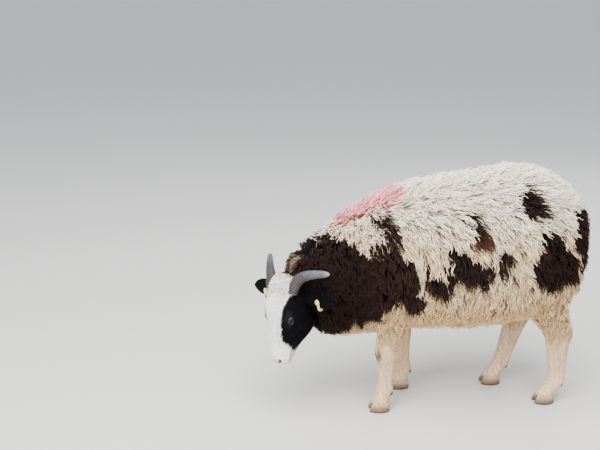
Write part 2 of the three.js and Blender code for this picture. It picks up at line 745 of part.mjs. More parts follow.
function place(group, name, body, material) {
  const mesh = new THREE.Mesh(geometryOf(body), material);
  mesh.name = name;
  group.add(mesh);
}

place(sheep, "neck", slice(-900, NECK_CUT), FLEECE_BROWN);
place(sheep, "shoulders", slice(NECK_CUT, BARREL_FRONT), FLEECE_WHITE);
place(sheep, "barrel", slice(BARREL_FRONT, BARREL_BACK), FLEECE_WHITE);
place(sheep, "hindquarters", slice(BARREL_BACK, 900), FLEECE_WHITE);
place(sheep, "tail", tail, FLEECE_BROWN);
for (const [name, leg] of Object.entries(LEGS)) {
  place(sheep, `upper_leg_${name}`, uppers[name], HAIR_TAN);
  place(sheep, `lower_leg_${name}`, lowerLeg(leg), HAIR_TAN);
  place(sheep, `hoof_outer_${name}`, claw(leg, leg.side), HOOF_GREY);
  place(sheep, `hoof_inner_${name}`, claw(leg, -leg.side), HOOF_GREY);
}
place(face, "head", head, FACE_HAIR);
sides.forEach(([name, side], i) => {
  place(face, `horn_${name}`, largest(horns[i].subtract(headRoom)), HORN_GREY);
  place(face, `ear_${name}`, largest(ears[i].subtract(headRoom)), BLACK_HAIR);
  place(face, `eye_${name}`, solid(eyeBall(side, EYE.radius)), EYE_AMBER);
  place(face, `ear_tag_${name}`, largest(tags[i].subtract(grown(ears[i])).subtract(headRoom)), TAG_YELLOW);
});

// The part's origin is under the middle of its box, on the floor
const bounds = new THREE.Box3().setFromObject(sheep, true);
const middle = bounds.getCenter(vec(0, 0, 0));
sheep.position.set(-middle.x, -middle.y, 0);

export default sheep;
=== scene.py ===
"""A Jacob sheep, a two-horned ewe in an autumn fleece, standing with its head lowered and turned a
little to its left. Sizes are in millimetres in the body's own plan until in_frame puts them in
place: the head towards -X, the animal's left side towards -Y, the floor at 0."""
from math import cos, pi, radians, sin

import bmesh
import bpy
import numpy as np
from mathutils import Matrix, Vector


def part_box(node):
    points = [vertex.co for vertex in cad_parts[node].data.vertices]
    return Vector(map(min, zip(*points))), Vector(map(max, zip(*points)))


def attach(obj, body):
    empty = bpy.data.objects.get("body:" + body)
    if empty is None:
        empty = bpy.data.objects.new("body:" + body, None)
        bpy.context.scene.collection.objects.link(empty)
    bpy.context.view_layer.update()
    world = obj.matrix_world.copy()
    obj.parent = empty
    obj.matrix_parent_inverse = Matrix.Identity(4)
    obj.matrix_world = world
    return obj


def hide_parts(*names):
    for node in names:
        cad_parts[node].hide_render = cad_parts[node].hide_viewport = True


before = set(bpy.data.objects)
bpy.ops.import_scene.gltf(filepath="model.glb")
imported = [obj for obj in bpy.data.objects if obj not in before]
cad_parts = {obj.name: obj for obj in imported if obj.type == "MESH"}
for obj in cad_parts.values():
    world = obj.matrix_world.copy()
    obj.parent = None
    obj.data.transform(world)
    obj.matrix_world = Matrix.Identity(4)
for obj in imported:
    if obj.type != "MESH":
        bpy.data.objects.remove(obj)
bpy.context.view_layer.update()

# The viewing place: a person's eye height, a long step from the sheep's left side, looking down at
# it a little. The floor is pale and plain, and the light is soft, as under a bright, clouded sky.
LEFT_FORE_CLAW = (-281.0, -82.7)  # the middle of that outer claw in the body's plan
claw_low, claw_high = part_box("hoof_outer_left_fore")
SHIFT = np.array([
    (claw_low.x + claw_high.x) * 500 - LEFT_FORE_CLAW[0],
    (claw_low.y + claw_high.y) * 500 - LEFT_FORE_CLAW[1],
    0.0,
])


def in_frame(points):
    """Points of the body's plan, in millimetres, as metres in the frame."""
    return (np.asarray(points, float) + SHIFT) / 1000


def rgb(red, green, blue):
    """A colour from its 0 to 255 screen numbers, as the linear light that surfaces use."""
    share = np.array([red, green, blue]) / 255
    return tuple(np.where(share < 0.04045, share / 12.92, ((share + 0.055) / 1.055) ** 2.4))


bpy.ops.object.select_all(action="DESELECT")
bpy.ops.object.camera_add(
    location=in_frame((-743.6, -2332.3, 1226.0)), rotation=(radians(73.5), 0, radians(-6))
)
camera = bpy.context.object
camera.name = "viewing_camera"
camera.data.lens = 54
camera.data.sensor_width = 36
bpy.context.scene.camera = camera

for name, place, turn, size, power in (
    ("sky_light", (-0.5, -1.2, 3.2), (21, -8, 0), 3.0, 300),
    ("front_light", (-2.6, -2.0, 1.5), (64, 0, -52), 1.8, 62),
    ("back_light", (1.6, 2.2, 2.0), (-58, 20, 0), 1.8, 30),
):
    bpy.ops.object.light_add(type="AREA", location=place, rotation=[radians(a) for a in turn])
    light = bpy.context.object
    light.name = name
    light.data.size = size
    light.data.energy = power
sky = bpy.data.worlds.new("soft_sky")
sky.use_nodes = True
sky.node_tree.nodes["Background"].inputs["Color"].default_value = (0.86, 0.92, 1.0, 1)
sky.node_tree.nodes["Background"].inputs["Strength"].default_value = 1.08
bpy.context.scene.world = sky

bpy.ops.mesh.primitive_plane_add(size=160, location=(0, 0, -0.0005))
floor = bpy.context.object
floor.name = "pale_floor"
floor_paint = bpy.data.materials.new("pale_floor_paint")
floor_paint.use_nodes = True
floor_paint.node_tree.nodes["Principled BSDF"].inputs["Base Color"].default_value = (0.62, 0.6, 0.57, 1)
floor_paint.node_tree.nodes["Principled BSDF"].inputs["Roughness"].default_value = 0.85
floor.data.materials.append(floor_paint)

# The body's forms: the outline of the fleece on the trunk, neck, tail and upper legs, and of the
# short hair on the shins. Each is a run of oval sections, as wide as the coat is at its tips.
TORSO = np.array([  # x, top, bottom, half width
    [-352, 560, 256, 84], [-318, 602, 232, 118], [-230, 636, 226, 146], [-130, 654, 225, 162],
    [-20, 669, 222, 171], [90, 683, 232, 174], [170, 672, 256, 166], [236, 632, 280, 142],
    [270, 600, 304, 110], [291, 560, 340, 76], [301, 506, 384, 40],
])
TORSO_POWER = 2.15  # a little squarer than an oval, which is 2
NECK = np.array([  # x, y, z, droop, turn, half height, half width
    [-262, 0, 425, 0, 0, 195, 128], [-345, 2, 401, 8, 5, 179, 118], [-412, 3, 364, 12, 13, 150, 104],
    [-460, 0, 347, 17, 20, 133, 92], [-487, -6, 336, 20, 25, 114, 78], [-501, -13, 328, 22, 28, 84, 58],
])
TAIL = np.array([  # x, y, z, half depth, half width
    [266, 0, 598, 14, 20], [287, -2, 556, 18, 28], [299, -4, 502, 20, 31], [298, -7, 436, 18, 29],
    [295, -9, 370, 15, 23], [294, -10, 318, 9, 13],
])
LEGS = {  # side, joint height, then x and distance from the middle line at top, joint, fetlock, foot
    "left_fore": (-1, 168, (-245, 64), (-263, 72), (-267, 70), (-279, 70)),
    "right_fore": (1, 168, (-240, 64), (-192, 68), (-184, 66), (-194, 66)),
    "left_hind": (-1, 196, (184, 72), (226, 74), (232, 70), (200, 70)),
    "right_hind": (1, 196, (174, 72), (153, 72), (112, 66), (84, 66)),
}
BENDS = {"fore": 176, "hind": 214}  # the height of the knee's middle and of the hock's point
LEG_TOP = 298
FETLOCK = 64
PASTERN_LOW = 25
FORE_SECTIONS = np.array([  # z, half depth, half width
    [388, 40, 28], [318, 56, 40], [276, 52, 38], [232, 40, 31], [196, 31, 26], [168, 29, 25],
    [134, 23, 20], [92, 20, 19], [62, 24, 22], [42, 23, 22], [22, 26, 24],
])
HIND_SECTIONS = np.array([
    [430, 64, 34], [360, 82, 50], [306, 70, 46], [262, 58, 39], [226, 45, 31], [196, 34, 26],
    [168, 32, 24], [128, 28, 21], [92, 25, 20], [64, 26, 23], [42, 25, 23], [22, 27, 24],
])


def between(stations, t):
    """Every number of the stations, run smoothly through them all at t from 0 to 1."""
    last = len(stations) - 1
    place = np.clip(t, 0, 1) * last
    i = np.minimum(place.astype(int), last - 1)
    k = (place - i)[:, None]
    a, b, c, d = (stations[np.clip(i + n, 0, last)].astype(float) for n in (-1, 0, 1, 2))
    bend = (2 * a - 5 * b + 4 * c - d) * k**2 + (3 * b - a - 3 * c + d) * k**3
    return 0.5 * (2 * b + (c - a) * k + bend)


def smooth(low, high, value):
    """From 0 at low to 1 at high, with a soft start and end."""
    k = np.clip((value - low) / (high - low), 0, 1)
    return k * k * (3 - 2 * k)


def unit(vectors):
    return vectors / np.maximum(np.linalg.norm(vectors, axis=-1, keepdims=True), 1e-9)


def oval_rings(centre, side, up, half, high, count, egg=0.0, power=2.0):
    """Rings of points round the centres: half widths along side, half heights along up."""
    angle = round_angles(count)
    s, c = np.sin(angle), np.cos(angle)
    across = np.sign(s) * np.abs(s) ** (2 / power) * (1 + np.multiply.outer(egg, c))
    rise = np.sign(c) * np.abs(c) ** (2 / power)
    across = np.broadcast_to(across, (len(centre), count)) * half[:, None]
    sideways = side[:, None] * across[..., None]
    return centre[:, None] + sideways + up[:, None] * (high[:, None] * rise)[..., None]


def round_angles(count):
    return 2 * pi * np.arange(count) / count


def same(vector, count):
    return np.tile(np.array(vector, float), (count, 1))


def torso_rings(t, count):
    x, top, bottom, half = between(TORSO, t).T
    centre = np.stack([x, 0 * x, (top + bottom) / 2], 1)
    side, up = same((0, 1, 0), len(t)), same((0, 0, 1), len(t))
    return oval_rings(centre, side, up, half, (top - bottom) / 2, count, power=TORSO_POWER)


def neck_rings(t, count):
    x, y, z, droop, turn, high, half = between(NECK, t).T
    droop, turn = np.radians(droop), np.radians(turn)
    side = np.stack([-np.sin(turn), np.cos(turn), 0 * x], 1)
    up = np.stack([-np.sin(droop) * np.cos(turn), -np.sin(droop) * np.sin(turn), np.cos(droop)], 1)
    return oval_rings(np.stack([x, y, z], 1), side, up, half, high, count)


def tail_rings(t, count):
    x, y, z, deep, wide = between(TAIL, t).T
    side, back = same((0, 1, 0), len(t)), same((1, 0, 0), len(t))
    return oval_rings(np.stack([x, y, z], 1), side, back, wide, deep, count)


def leg_rings(leg, t, count):
    """A leg's level sections, their middles on a line through its joints."""
    side, joint_height, *joints = LEGS[leg]
    z, deep, wide = between(FORE_SECTIONS if "fore" in leg else HIND_SECTIONS, t).T
    top, joint, fetlock, foot = np.array(joints, float)
    k = smooth(0, 1, (LEG_TOP - z) / (LEG_TOP - joint_height))[:, None]
    line = top + (joint - top) * k
    shin = fetlock + (joint - fetlock) * ((z - FETLOCK) / (joint_height - FETLOCK))[:, None]
    line = np.where(z[:, None] < joint_height, shin, line)
    low = np.clip((z - PASTERN_LOW) / (FETLOCK - PASTERN_LOW), 0, 1)[:, None]
    line = np.where(z[:, None] < FETLOCK, foot + (fetlock - foot) * low, line)
    centre = np.stack([line[:, 0], side * line[:, 1], z], 1)
    rings = oval_rings(centre, same((0, 1, 0), len(t)), same((1, 0, 0), len(t)), wide, deep, count)
    # The knee is flat in front, the hock has its point behind, and a tendon runs down behind the shin
    front = -1 if "fore" in leg else 1
    bend_height = BENDS[leg.split("_")[1]]
    reach = unit(rings - centre[:, None])
    facing = np.clip(reach[..., 0] * front, 0, 1) ** 3
    rings[..., 0] += front * 4.5 * facing * np.exp(-(((rings[..., 2] - bend_height) / 17) ** 2))
    hollow = np.exp(-(((reach[..., 0] - 0.35) / 0.22) ** 2))
    hollow = hollow * smooth(70, 95, z)[:, None] * smooth(165, 140, z)[:, None]
    rings[..., 1] -= np.sign(reach[..., 1]) * 2.6 * hollow
    return rings


# The head: in the face's own lines, f down the face from the poll, l to the animal's left and u out
# of the face. Its skin carries the orbits, brows, cheeks, lips, nostrils and the lids' folds.
POLL = np.array([-564.5, -51.0, 375.0])
FACE = np.array([  # the face's f, l and u in the body's plan
    [-0.1724, -0.2633, -0.9492], [0.5846, -0.8029, 0.1165], [-0.7928, -0.5348, 0.2924],
])
HEAD = np.array([  # f, face line, jaw line, half width, how much fuller above
    [-40, -30, -78, 34, 0.1], [-20, -6, -104, 48, 0.16], [12, 5, -124, 53, 0.2], [46, 9, -136, 53, 0.24],
    [80, 5, -143, 49, 0.26], [110, -3, -139, 41, 0.22], [140, -11, -114, 33, 0.14],
    [168, -18, -91, 28, 0.06], [190, -24, -82, 26, 0.04], [203, -32, -72, 22, 0], [211, -42, -63, 15, 0],
])
HEAD_POWER = 2.25
BUMPS = (  # place, size and how far it stands out; a hollow is below nought
    ((82, 46, -24), 22, 4.0),  # orbit
    ((62, 38, -4), 17, 2.5),  # brow
    ((112, 34, -66), 22, 3.0),  # cheek
    ((196, 17, -40), 12, 2.5),  # wing of the nostril
    ((199, 10, -70), 10, 2.0),  # lower lip
    ((108, 33, -22), 11, -2.6),  # hollow before the eye
    ((128, 0, -6), 22, 1.6),  # ridge of the nose
    ((176, 24, -54), 12, 1.2),  # upper lip
    ((150, 22, -92), 15, -1.6),  # behind the chin
    ((30, 30, 2), 16, 1.2),  # horn boss
)
MOUTH = {"back": 158, "rise": -58, "slope": 0.0524}
NOSTRIL = np.array([202.0, 14.0, -36.0])
EYE = np.array([84.0, 42.0, -25.0])
EYE_LOOK = unit(np.array([0.12, 0.84, 0.5]))  # the way that the left eye faces
EYE_RADIUS = 12.5
LID_RADIUS = 14.2
LID_LONG = 12.0
LID_OPEN = 6.1
LID_SHARES = (1.05, 0.88)  # how wide the lids open above the middle and below it


def to_body(face_points):
    """Points in the face's lines, in the body's plan."""
    return POLL + np.asarray(face_points, float) @ FACE


def to_face(body_points):
    return (np.asarray(body_points, float) - POLL) @ FACE.T


def eye_lines(side):
    """The eye's middle, the way it faces, its length from corner to corner and its upright."""
    out = EYE_LOOK * (1, side, 1)
    long = np.array([0.96, 0.0, -0.27])
    long = unit(long - out * (out @ long))
    high = np.cross(long, out)
    return EYE * (1, side, 1), out, long, high if high[2] > 0 else -high


def nostril_reach(p, side):
    """How far points are from a nostril's middle line: 1 at the rim of its slanting comma."""
    rel = p - NOSTRIL * (1, side, 1)
    out = unit(np.array([0.35, side * 0.66, 0.66]))
    slant = np.array([-0.8, side * 0.35, 0.1])
    slant = unit(slant - out * (slant @ out))
    a, b = rel @ slant, rel @ np.cross(out, slant)
    return np.sqrt((a / 9.0) ** 2 + ((b - 0.05 * a * a * side) / 3.8) ** 2) + (np.abs(rel @ out) > 12) * 9.0


def lids(p, side):
    """The skin round one eye: an almond opening, the lids on the ball and the fold above them."""
    middle, out, long, high = eye_lines(side)
    a, b, n = (p - middle) @ long, (p - middle) @ high, (p - middle) @ out
    flat = np.hypot(a, b)
    share = (a / LID_LONG) ** 2 + np.abs(b) / (LID_OPEN * np.where(b > 0, *LID_SHARES))
    near = (n > -9) & (flat < 27)
    lid = np.sqrt(np.maximum(LID_RADIUS**2 - np.minimum(flat, 12.8) ** 2, 0))
    lid = lid - 0.35 * np.maximum(flat - 12.8, 0)
    under = np.sqrt(np.maximum(10.6**2 - flat**2, 0))
    blend = 1 - smooth(1.05, 2.5, share)
    made = n * (1 - blend) + lid * blend
    made -= np.where(b > 0, 1.3, 0.7) * np.exp(-(((share - 1.9) / 0.2) ** 2))
    made -= 0.5 * np.exp(-(((share - 2.7) / 0.2) ** 2)) * (b < 0)
    made = np.where(share < 1, under, made)
    return p + out * np.where(near, made - n, 0)[..., None]


def above_mouth(f, u):
    """How far points are above the line of the mouth."""
    return u - (MOUTH["rise"] - MOUTH["slope"] * (f - MOUTH["back"]))


def head_skin(rings):
    """The head's sections with all that stands out of them or is let into them."""
    p = rings.copy()
    out = unit(p - np.stack([p[..., 0], 0 * p[..., 0], np.full(p.shape[:2], -50.0)], -1))
    mirrored = p * (1, 0, 1) + np.stack([0 * p[..., 0], np.abs(p[..., 1]), 0 * p[..., 0]], -1)
    for at, size, push in BUMPS:
        near = np.linalg.norm(mirrored - np.array(at, float), axis=-1) / size
        p += out * (push * np.exp(-near * near))[..., None]
    f, l, u = p[..., 0], p[..., 1], p[..., 2]
    # The mouth's line, between two rolled lips, and the split of the upper lip under the nose
    gap = above_mouth(f, u)
    lips = smooth(MOUTH["back"] - 6, MOUTH["back"] + 8, f)
    p -= out * (lips * 4.2 * np.exp(-((gap / 1.9) ** 2)))[..., None]
    p += out * (lips * 1.5 * np.exp(-(((np.abs(gap) - 6) / 3.2) ** 2)))[..., None]
    split = smooth(196, 206, f) * (u > -58) * (u < -36)
    p -= out * (split * 1.6 * np.exp(-((l / 1.4) ** 2)))[..., None]
    # The nostrils: commas that slant up and outwards, each with a raised rim
    for side in (-1, 1):
        reach = nostril_reach(p, side)
        p -= out * (7.0 * (1 - smooth(0.45, 1.0, reach)))[..., None]
        p += out * (1.1 * np.exp(-(((reach - 1.4) / 0.3) ** 2)))[..., None]
    for side in (-1, 1):
        p = lids(p, side)
    return p


def head_rings(rows, count):
    t = np.linspace(0, 1, rows)
    f, top, jaw, half, egg = between(HEAD, t).T
    centre = np.stack([f, 0 * f, (top + jaw) / 2], 1)
    side, up = same((0, 1, 0), rows), same((0, 0, 1), rows)
    rings = oval_rings(centre, side, up, half, (top - jaw) / 2, count, egg, HEAD_POWER)
    # The muzzle ends in a low dome
    last, middle = rings[-1], centre[-1]
    dome = [
        middle + (last - middle) * k + np.array([4.5 * (1 - k * k), 0, 0])
        for k in (0.92, 0.8, 0.64, 0.46, 0.28, 0.1)
    ]
    return head_skin(np.concatenate([rings, dome]))


# The ears: leaves with a rolled root and a cup that faces forwards, held out level and a little back.
EAR_ROOT = np.array([8.0, 36.0, -52.0])
EAR_TIP = np.array([18.4, 170.0, -56.5])
EAR_HALF = 24.0
EAR_THICK = 4.2
EAR_CUP = 12.0
EAR_SAG = 7.0  # how far the tip hangs back


def ear_lines(side):
    root, tip = EAR_ROOT * (1, side, 1), EAR_TIP * (1, side, 1)
    along = unit(tip - root)
    opening = np.array([0.25, 0.0, 1.0])
    opening = unit(opening - along * (along @ opening))
    return root, along, np.linalg.norm(tip - root), opening, np.cross(opening, along)


def ear_half(t):
    return EAR_HALF * (0.3 + 0.7 * np.sin(pi * np.minimum(1, 0.14 + 0.62 * t))) * (1 - t**5) ** 0.6


def ear_cup(t, half):
    """How deep the cup is, which gets flatter towards the tip."""
    return EAR_CUP * (1 - 0.75 * t) * half / EAR_HALF


def ear_rings(side, t, count):
    root, along, length, opening, across = ear_lines(side)
    half = np.maximum(2.2, ear_half(t))[:, None]
    cup = ear_cup(t[:, None], half)
    thick = EAR_THICK * (1 - 0.45 * t[:, None])
    angle = round_angles(count)[None]
    k = -np.cos(angle)
    lift = cup * (k * k - 0.5) + np.sin(angle) * (thick / 2 + 0.5) - EAR_SAG * t[:, None] ** 2
    sideways = across * (k * half)[..., None]
    return root + along * (t * length)[:, None, None] + sideways + opening * lift[..., None]


# Markings: brown neck and shoulder, brown spots on a cream fleece that is tan below, a white blaze
# between black cheeks, black ears and a little pink raddle on the withers. One rule colours both
# the skin and the coat over it. Outlines are x and z on the left side.
BACK_WHITE = rgb(253, 244, 229)
CREAM = rgb(246, 225, 192)
TAN = rgb(244, 206, 152)
BROWN = rgb(21, 12, 12)
BROWN_WARM = rgb(54, 31, 24)
BROWN_TIP = rgb(72, 44, 35)
REDDISH = rgb(112, 66, 46)
RADDLE = rgb(244, 80, 130)
FACE_WHITE = rgb(244, 242, 239)
FACE_BLACK = rgb(4, 4, 7)
LID_PAINTED_HIGHLIGHT = rgb(44, 42, 50)
LIP = rgb(228, 196, 178)
LEG_CREAM = rgb(238, 206, 170)
BEIGE = rgb(206, 172, 144)
CHEEK_EDGE_PAINTED_SHADE = rgb(150, 144, 146)
MOUTH_BROWN = rgb(74, 50, 46)
NOSTRIL_PAINTED_SHADE = rgb(20, 15, 16)
LEFT_KNEE_BROWN = rgb(72, 54, 44)
RIGHT_KNEE_BROWN = rgb(92, 70, 58)
PASTERN_TAN = rgb(168, 138, 112)
BROWN_OUTLINES = {
    "neck_shoulder": [
        (-640, 462), (-520, 462), (-500, 475), (-472, 492), (-446, 502), (-412, 507), (-382, 507),
        (-359, 493), (-344, 481), (-333, 471), (-327, 486), (-307, 503), (-284, 511), (-287, 531),
        (-307, 540), (-316, 557), (-312, 567), (-294, 574), (-266, 574), (-260, 555), (-243, 528),
        (-238, 502), (-244, 480), (-222, 459), (-208, 430), (-199, 401), (-191, 376), (-172, 344),
        (-182, 318), (-199, 299), (-220, 309), (-234, 335), (-255, 327), (-277, 300), (-294, 278),
        (-326, 266), (-353, 250), (-391, 232), (-430, 190), (-640, 190),
    ],
    "rump": [
        (71, 610), (78, 624), (85, 632), (103, 640), (122, 632), (131, 617), (138, 600),
        (131, 579), (112, 568), (99, 571), (87, 586),
    ],
    "thigh": [
        (105, 426), (107, 460), (120, 480), (132, 513), (143, 535), (140, 547), (157, 531),
        (172, 542), (187, 544), (191, 514), (196, 487), (218, 466), (238, 455), (248, 433),
        (257, 401), (252, 375), (220, 381), (191, 365), (169, 361), (143, 377), (114, 399),
    ],
    "beside_tail": [
        (252, 584), (275, 570), (310, 545), (310, 380), (262, 400), (250, 465), (232, 471),
        (216, 484), (220, 516), (229, 540), (239, 563),
    ],
    "flank_high": [
        (-65, 575), (-49, 578), (-35, 566), (-24, 541), (-14, 504), (-31, 501), (-50, 496),
        (-57, 511), (-55, 535),
    ],
    "flank_middle": [
        (-117, 484), (-95, 487), (-74, 478), (-55, 464), (-26, 461), (-10, 428), (-20, 408),
        (-44, 398), (-70, 402), (-89, 416), (-100, 442), (-107, 465),
    ],
    "flank_low": [(-118, 429), (-99, 432), (-101, 402), (-111, 385), (-122, 402)],
    "behind_elbow": [
        (-176, 435), (-160, 419), (-145, 416), (-128, 395), (-119, 370), (-133, 356), (-150, 363),
        (-168, 395),
    ],
    "flank_rear": [(16, 476), (35, 473), (41, 453), (32, 430), (15, 440)],
}
SPREAD = {  # how much larger a small spot is drawn, since pale wool falls over its edge
    "flank_high": 1.3, "flank_middle": 1.2, "flank_low": 1.4,
    "behind_elbow": 1.25, "flank_rear": 1.6, "rump": 1.14,
}
FAR_SPOTS = (  # guessed for the right side, as the breed has them: x, z, half long, half high
    (-70, 500, 62, 58), (30, 380, 44, 50), (176, 470, 70, 66), (120, 610, 40, 26),
)
RADDLE_LINE = np.array([
    (-398, 552), (-359, 575), (-331, 590), (-300, 600), (-254, 618), (-216, 632),
], float)
CHEEK_LINE = np.array([  # how far from the face's middle the black starts, down the face
    (-40, 36), (-14, 41), (5, 49), (22, 46), (44, 38), (67, 34), (86, 29), (109, 25), (131, 24), (168, 25),
    (215, 26),
], float)


def ripple(p, size, seed):
    """A smooth, uneven swell between about -1 and 1, as wide as size."""
    draw = np.random.default_rng(seed)
    total = 0
    for _ in range(6):
        way = unit(draw.normal(size=3)) * 2 * pi / (size * draw.uniform(0.7, 1.5))
        total = total + np.sin(p @ way + draw.uniform(0, 2 * pi))
    return total / 3


def inside(outline, x, z):
    found = np.zeros(x.shape, bool)
    for (x0, z0), (x1, z1) in zip(outline, outline[1:] + outline[:1]):
        crosses = (z0 > z) != (z1 > z)
        where = x0 + (z - z0) * (x1 - x0) / ((z1 - z0) or 1e-9)
        found ^= crosses & (x < where)
    return found


def spread_out(name):
    """A brown spot's outline, drawn larger round its middle."""
    outline = np.array(BROWN_OUTLINES[name], float)
    middle = outline.mean(0)
    return (middle + (outline - middle) * SPREAD.get(name, 1)).tolist()


def blended(first, second, share):
    return first + (np.asarray(second) - first) * np.asarray(share)[..., None]


def plain(colour, shape):
    """One colour at every point."""
    return np.array(colour) * np.ones(shape)


def fleece_colour(p, ragged=0.0, seed=5):
    """The fleece's colour at points of the body's plan, and how brown it is there."""
    x = p[..., 0] + 7 * ripple(p, 34, 11) + ragged * ripple(p, 9, 12)
    z = p[..., 2] + 7 * ripple(p, 30, 13) + ragged * ripple(p, 11, 14)
    left = p[..., 1] < 30
    low = smooth(430, 285, p[..., 2] + 26 * ripple(p, 70, 3))
    colour = blended(plain(CREAM, p.shape), BACK_WHITE, smooth(470, 590, p[..., 2]))
    colour = blended(colour, TAN, 0.75 * low)
    rear = smooth(180, 280, p[..., 0]) * smooth(560, 420, p[..., 2])
    colour = blended(colour, TAN, 0.5 * rear)
    pull = np.full(x.shape, 1e9)
    for (x0, z0), (x1, z1) in zip(RADDLE_LINE, RADDLE_LINE[1:]):
        k = np.clip(((x - x0) * (x1 - x0) + (z - z0) * (z1 - z0)) / ((x1 - x0) ** 2 + (z1 - z0) ** 2), 0, 1)
        pull = np.minimum(pull, np.hypot(x - x0 - k * (x1 - x0), z - z0 - k * (z1 - z0)))
    draw = np.random.default_rng(seed).random(x.shape)
    dyed = smooth(25, 9, pull) * smooth(-205, -250, x) * (p[..., 1] < 70) * (0.42 + 0.58 * draw)
    colour = blended(colour, RADDLE, 0.9 * dyed)
    brown = np.zeros(x.shape)
    for name in BROWN_OUTLINES:
        on_side = left | (name in ("neck_shoulder", "beside_tail"))
        brown = np.where(inside(spread_out(name), x, z) & on_side, 1.0, brown)
    for fx, fz, long, high in FAR_SPOTS:
        brown = np.where(~left & ((x - fx) ** 2 / long**2 + (z - fz) ** 2 / high**2 < 1), 1.0, brown)
    flecked = inside([(-330, 470), (-250, 470), (-250, 575), (-330, 575)], x, z) & (draw > 0.9)
    brown = np.where(flecked & left, 0.55, brown)
    nape = smooth(-505, -535, x) * smooth(395, 425, z) * (z < 490) * (ragged > 0)
    colour = blended(colour, BEIGE, nape)
    brown = brown * (1 - nape * np.where(draw > 0.6, 0.6, 0.12))
    reddish = inside(spread_out("flank_high"), x, z) * smooth(535, 505, z)
    dark = blended(plain(BROWN, p.shape), BROWN_WARM, smooth(-380, -210, x) * (x < -150) * draw)
    dark = blended(dark, REDDISH, 0.8 * reddish)
    return blended(colour, dark, brown), brown


def face_colour(q):
    """The short hair's colour on the head, at points in the face's lines."""
    f, l, u = q[..., 0], q[..., 1], q[..., 2]
    edge = np.interp(f, CHEEK_LINE[:, 0], CHEEK_LINE[:, 1]) + 1.6 * ripple(q, 12, 21)
    ends = 149 + 0.55 * np.clip(-u - 28, 0, 44) + 3 * ripple(q, 14, 22)
    black = smooth(-1.5, 1.5, np.abs(l) - edge) * smooth(3, -3, f - ends) * (u < 4)
    black = np.maximum(black, smooth(-70, -78, u) * smooth(3, -3, f - ends))
    colour = blended(plain(FACE_WHITE, q.shape), FACE_BLACK, black)
    # Painted shade: a grey line down the white blaze, just inside the black edge of each cheek
    cheek_edge_shade = np.exp(-(((np.abs(l) - edge + 6) / 1.8) ** 2))
    cheek_edge_shade = cheek_edge_shade * smooth(85, 105, f) * smooth(166, 150, f) * (u < 4)
    colour = blended(colour, CHEEK_EDGE_PAINTED_SHADE, 0.5 * cheek_edge_shade)
    # Painted highlights: grey arcs on the lid folds above and round each eye
    for side in (-1, 1):
        middle, _, long, high = eye_lines(side)
        a, b = (q - middle) @ long, (q - middle) @ high
        far_out = np.hypot(a / 14, b / 9)
        fold = np.exp(-(((far_out - 1.3) / 0.16) ** 2)) * smooth(-6, 3, b)
        fold = (fold + 0.6 * np.exp(-(((far_out - 1.75) / 0.2) ** 2)) * (b > 2)) * (l * side > 20)
        colour = blended(colour, LID_PAINTED_HIGHLIGHT, 0.75 * np.clip(fold, 0, 1))
    rim = smooth(198, 207, f + 0.25 * (u + 50)) * smooth(-64, -52, u)
    chin = smooth(-50, -62, u) * smooth(150, 160, f)
    colour = blended(colour, LIP, np.clip(0.35 * rim + 0.8 * chin * (1 - black), 0, 1))
    gap = np.abs(above_mouth(f, u))
    mouth = smooth(3.4, 1.4, gap) * smooth(MOUTH["back"] - 4, MOUTH["back"] + 4, f)
    colour = blended(colour, MOUTH_BROWN, mouth)
    # Painted shade in the nostrils' hollows
    for side in (-1, 1):
        colour = blended(colour, NOSTRIL_PAINTED_SHADE, smooth(1.2, 0.75, nostril_reach(q, side)))
    return colour


def hide_colour(p):
    """The colour at points on the whole skin: wool ground, face, ears and legs."""
    wool, _ = fleece_colour(p)
    # The wool's colours, darkened as painted shade under the coat, and darker still lower down
    colour = wool * (0.62 + 0.2 * smooth(400, 520, p[..., 2:]))
    q = to_face(p)
    f, l, u = q[..., 0], np.abs(q[..., 1]), q[..., 2]
    on_face = (f > -12) & (l < 60) & (u > -150) & (u < 22) & (p[..., 0] < -455)
    colour = np.where(on_face[..., None], face_colour(q), colour)
    on_ear = (l > 54) & (f > -30) & (f < 60) & (u > -90) & (p[..., 0] < -420)
    colour = np.where(on_ear[..., None], np.array(FACE_BLACK), colour)
    shin = smooth(238, 205, p[..., 2]) * (p[..., 0] > -340)
    leg = np.array(LEG_CREAM) * (0.97 + 0.05 * ripple(p, 26, 31))[..., None]
    left_knee = np.hypot(p[..., 0] + 294, 0.6 * (p[..., 2] - 176))
    right_knee = np.hypot(p[..., 0] + 214, p[..., 2] - 182)
    leg = blended(leg, LEFT_KNEE_BROWN, 0.8 * smooth(17, 7, left_knee))
    leg = blended(leg, RIGHT_KNEE_BROWN, 0.8 * smooth(15, 7, right_knee))
    leg = blended(leg, PASTERN_TAN, 0.6 * smooth(34, 24, p[..., 2]))
    return blended(colour, leg, shin)


# The skin: one hide over trunk, neck, head, ears, tail and legs. It lies under the coat by the
# coat's depth, so it is slim on the trunk and at its own line on the face, ears and shins.
COAT_DEPTH = {"trunk": 38.0, "neck": 34.0, "tail": 8.0}


def outward(rings):
    """The way out of a run of rings at each of its points."""
    down = np.gradient(rings, axis=0)
    around = np.roll(rings, -1, 1) - np.roll(rings, 1, 1)
    normal = unit(np.cross(around, down))
    away = rings - rings.mean(1, keepdims=True)
    return normal * np.sign((normal * away).sum(-1).mean())


def linked(name, mesh):
    piece = bpy.data.objects.new(name, mesh)
    bpy.context.scene.collection.objects.link(piece)
    return piece


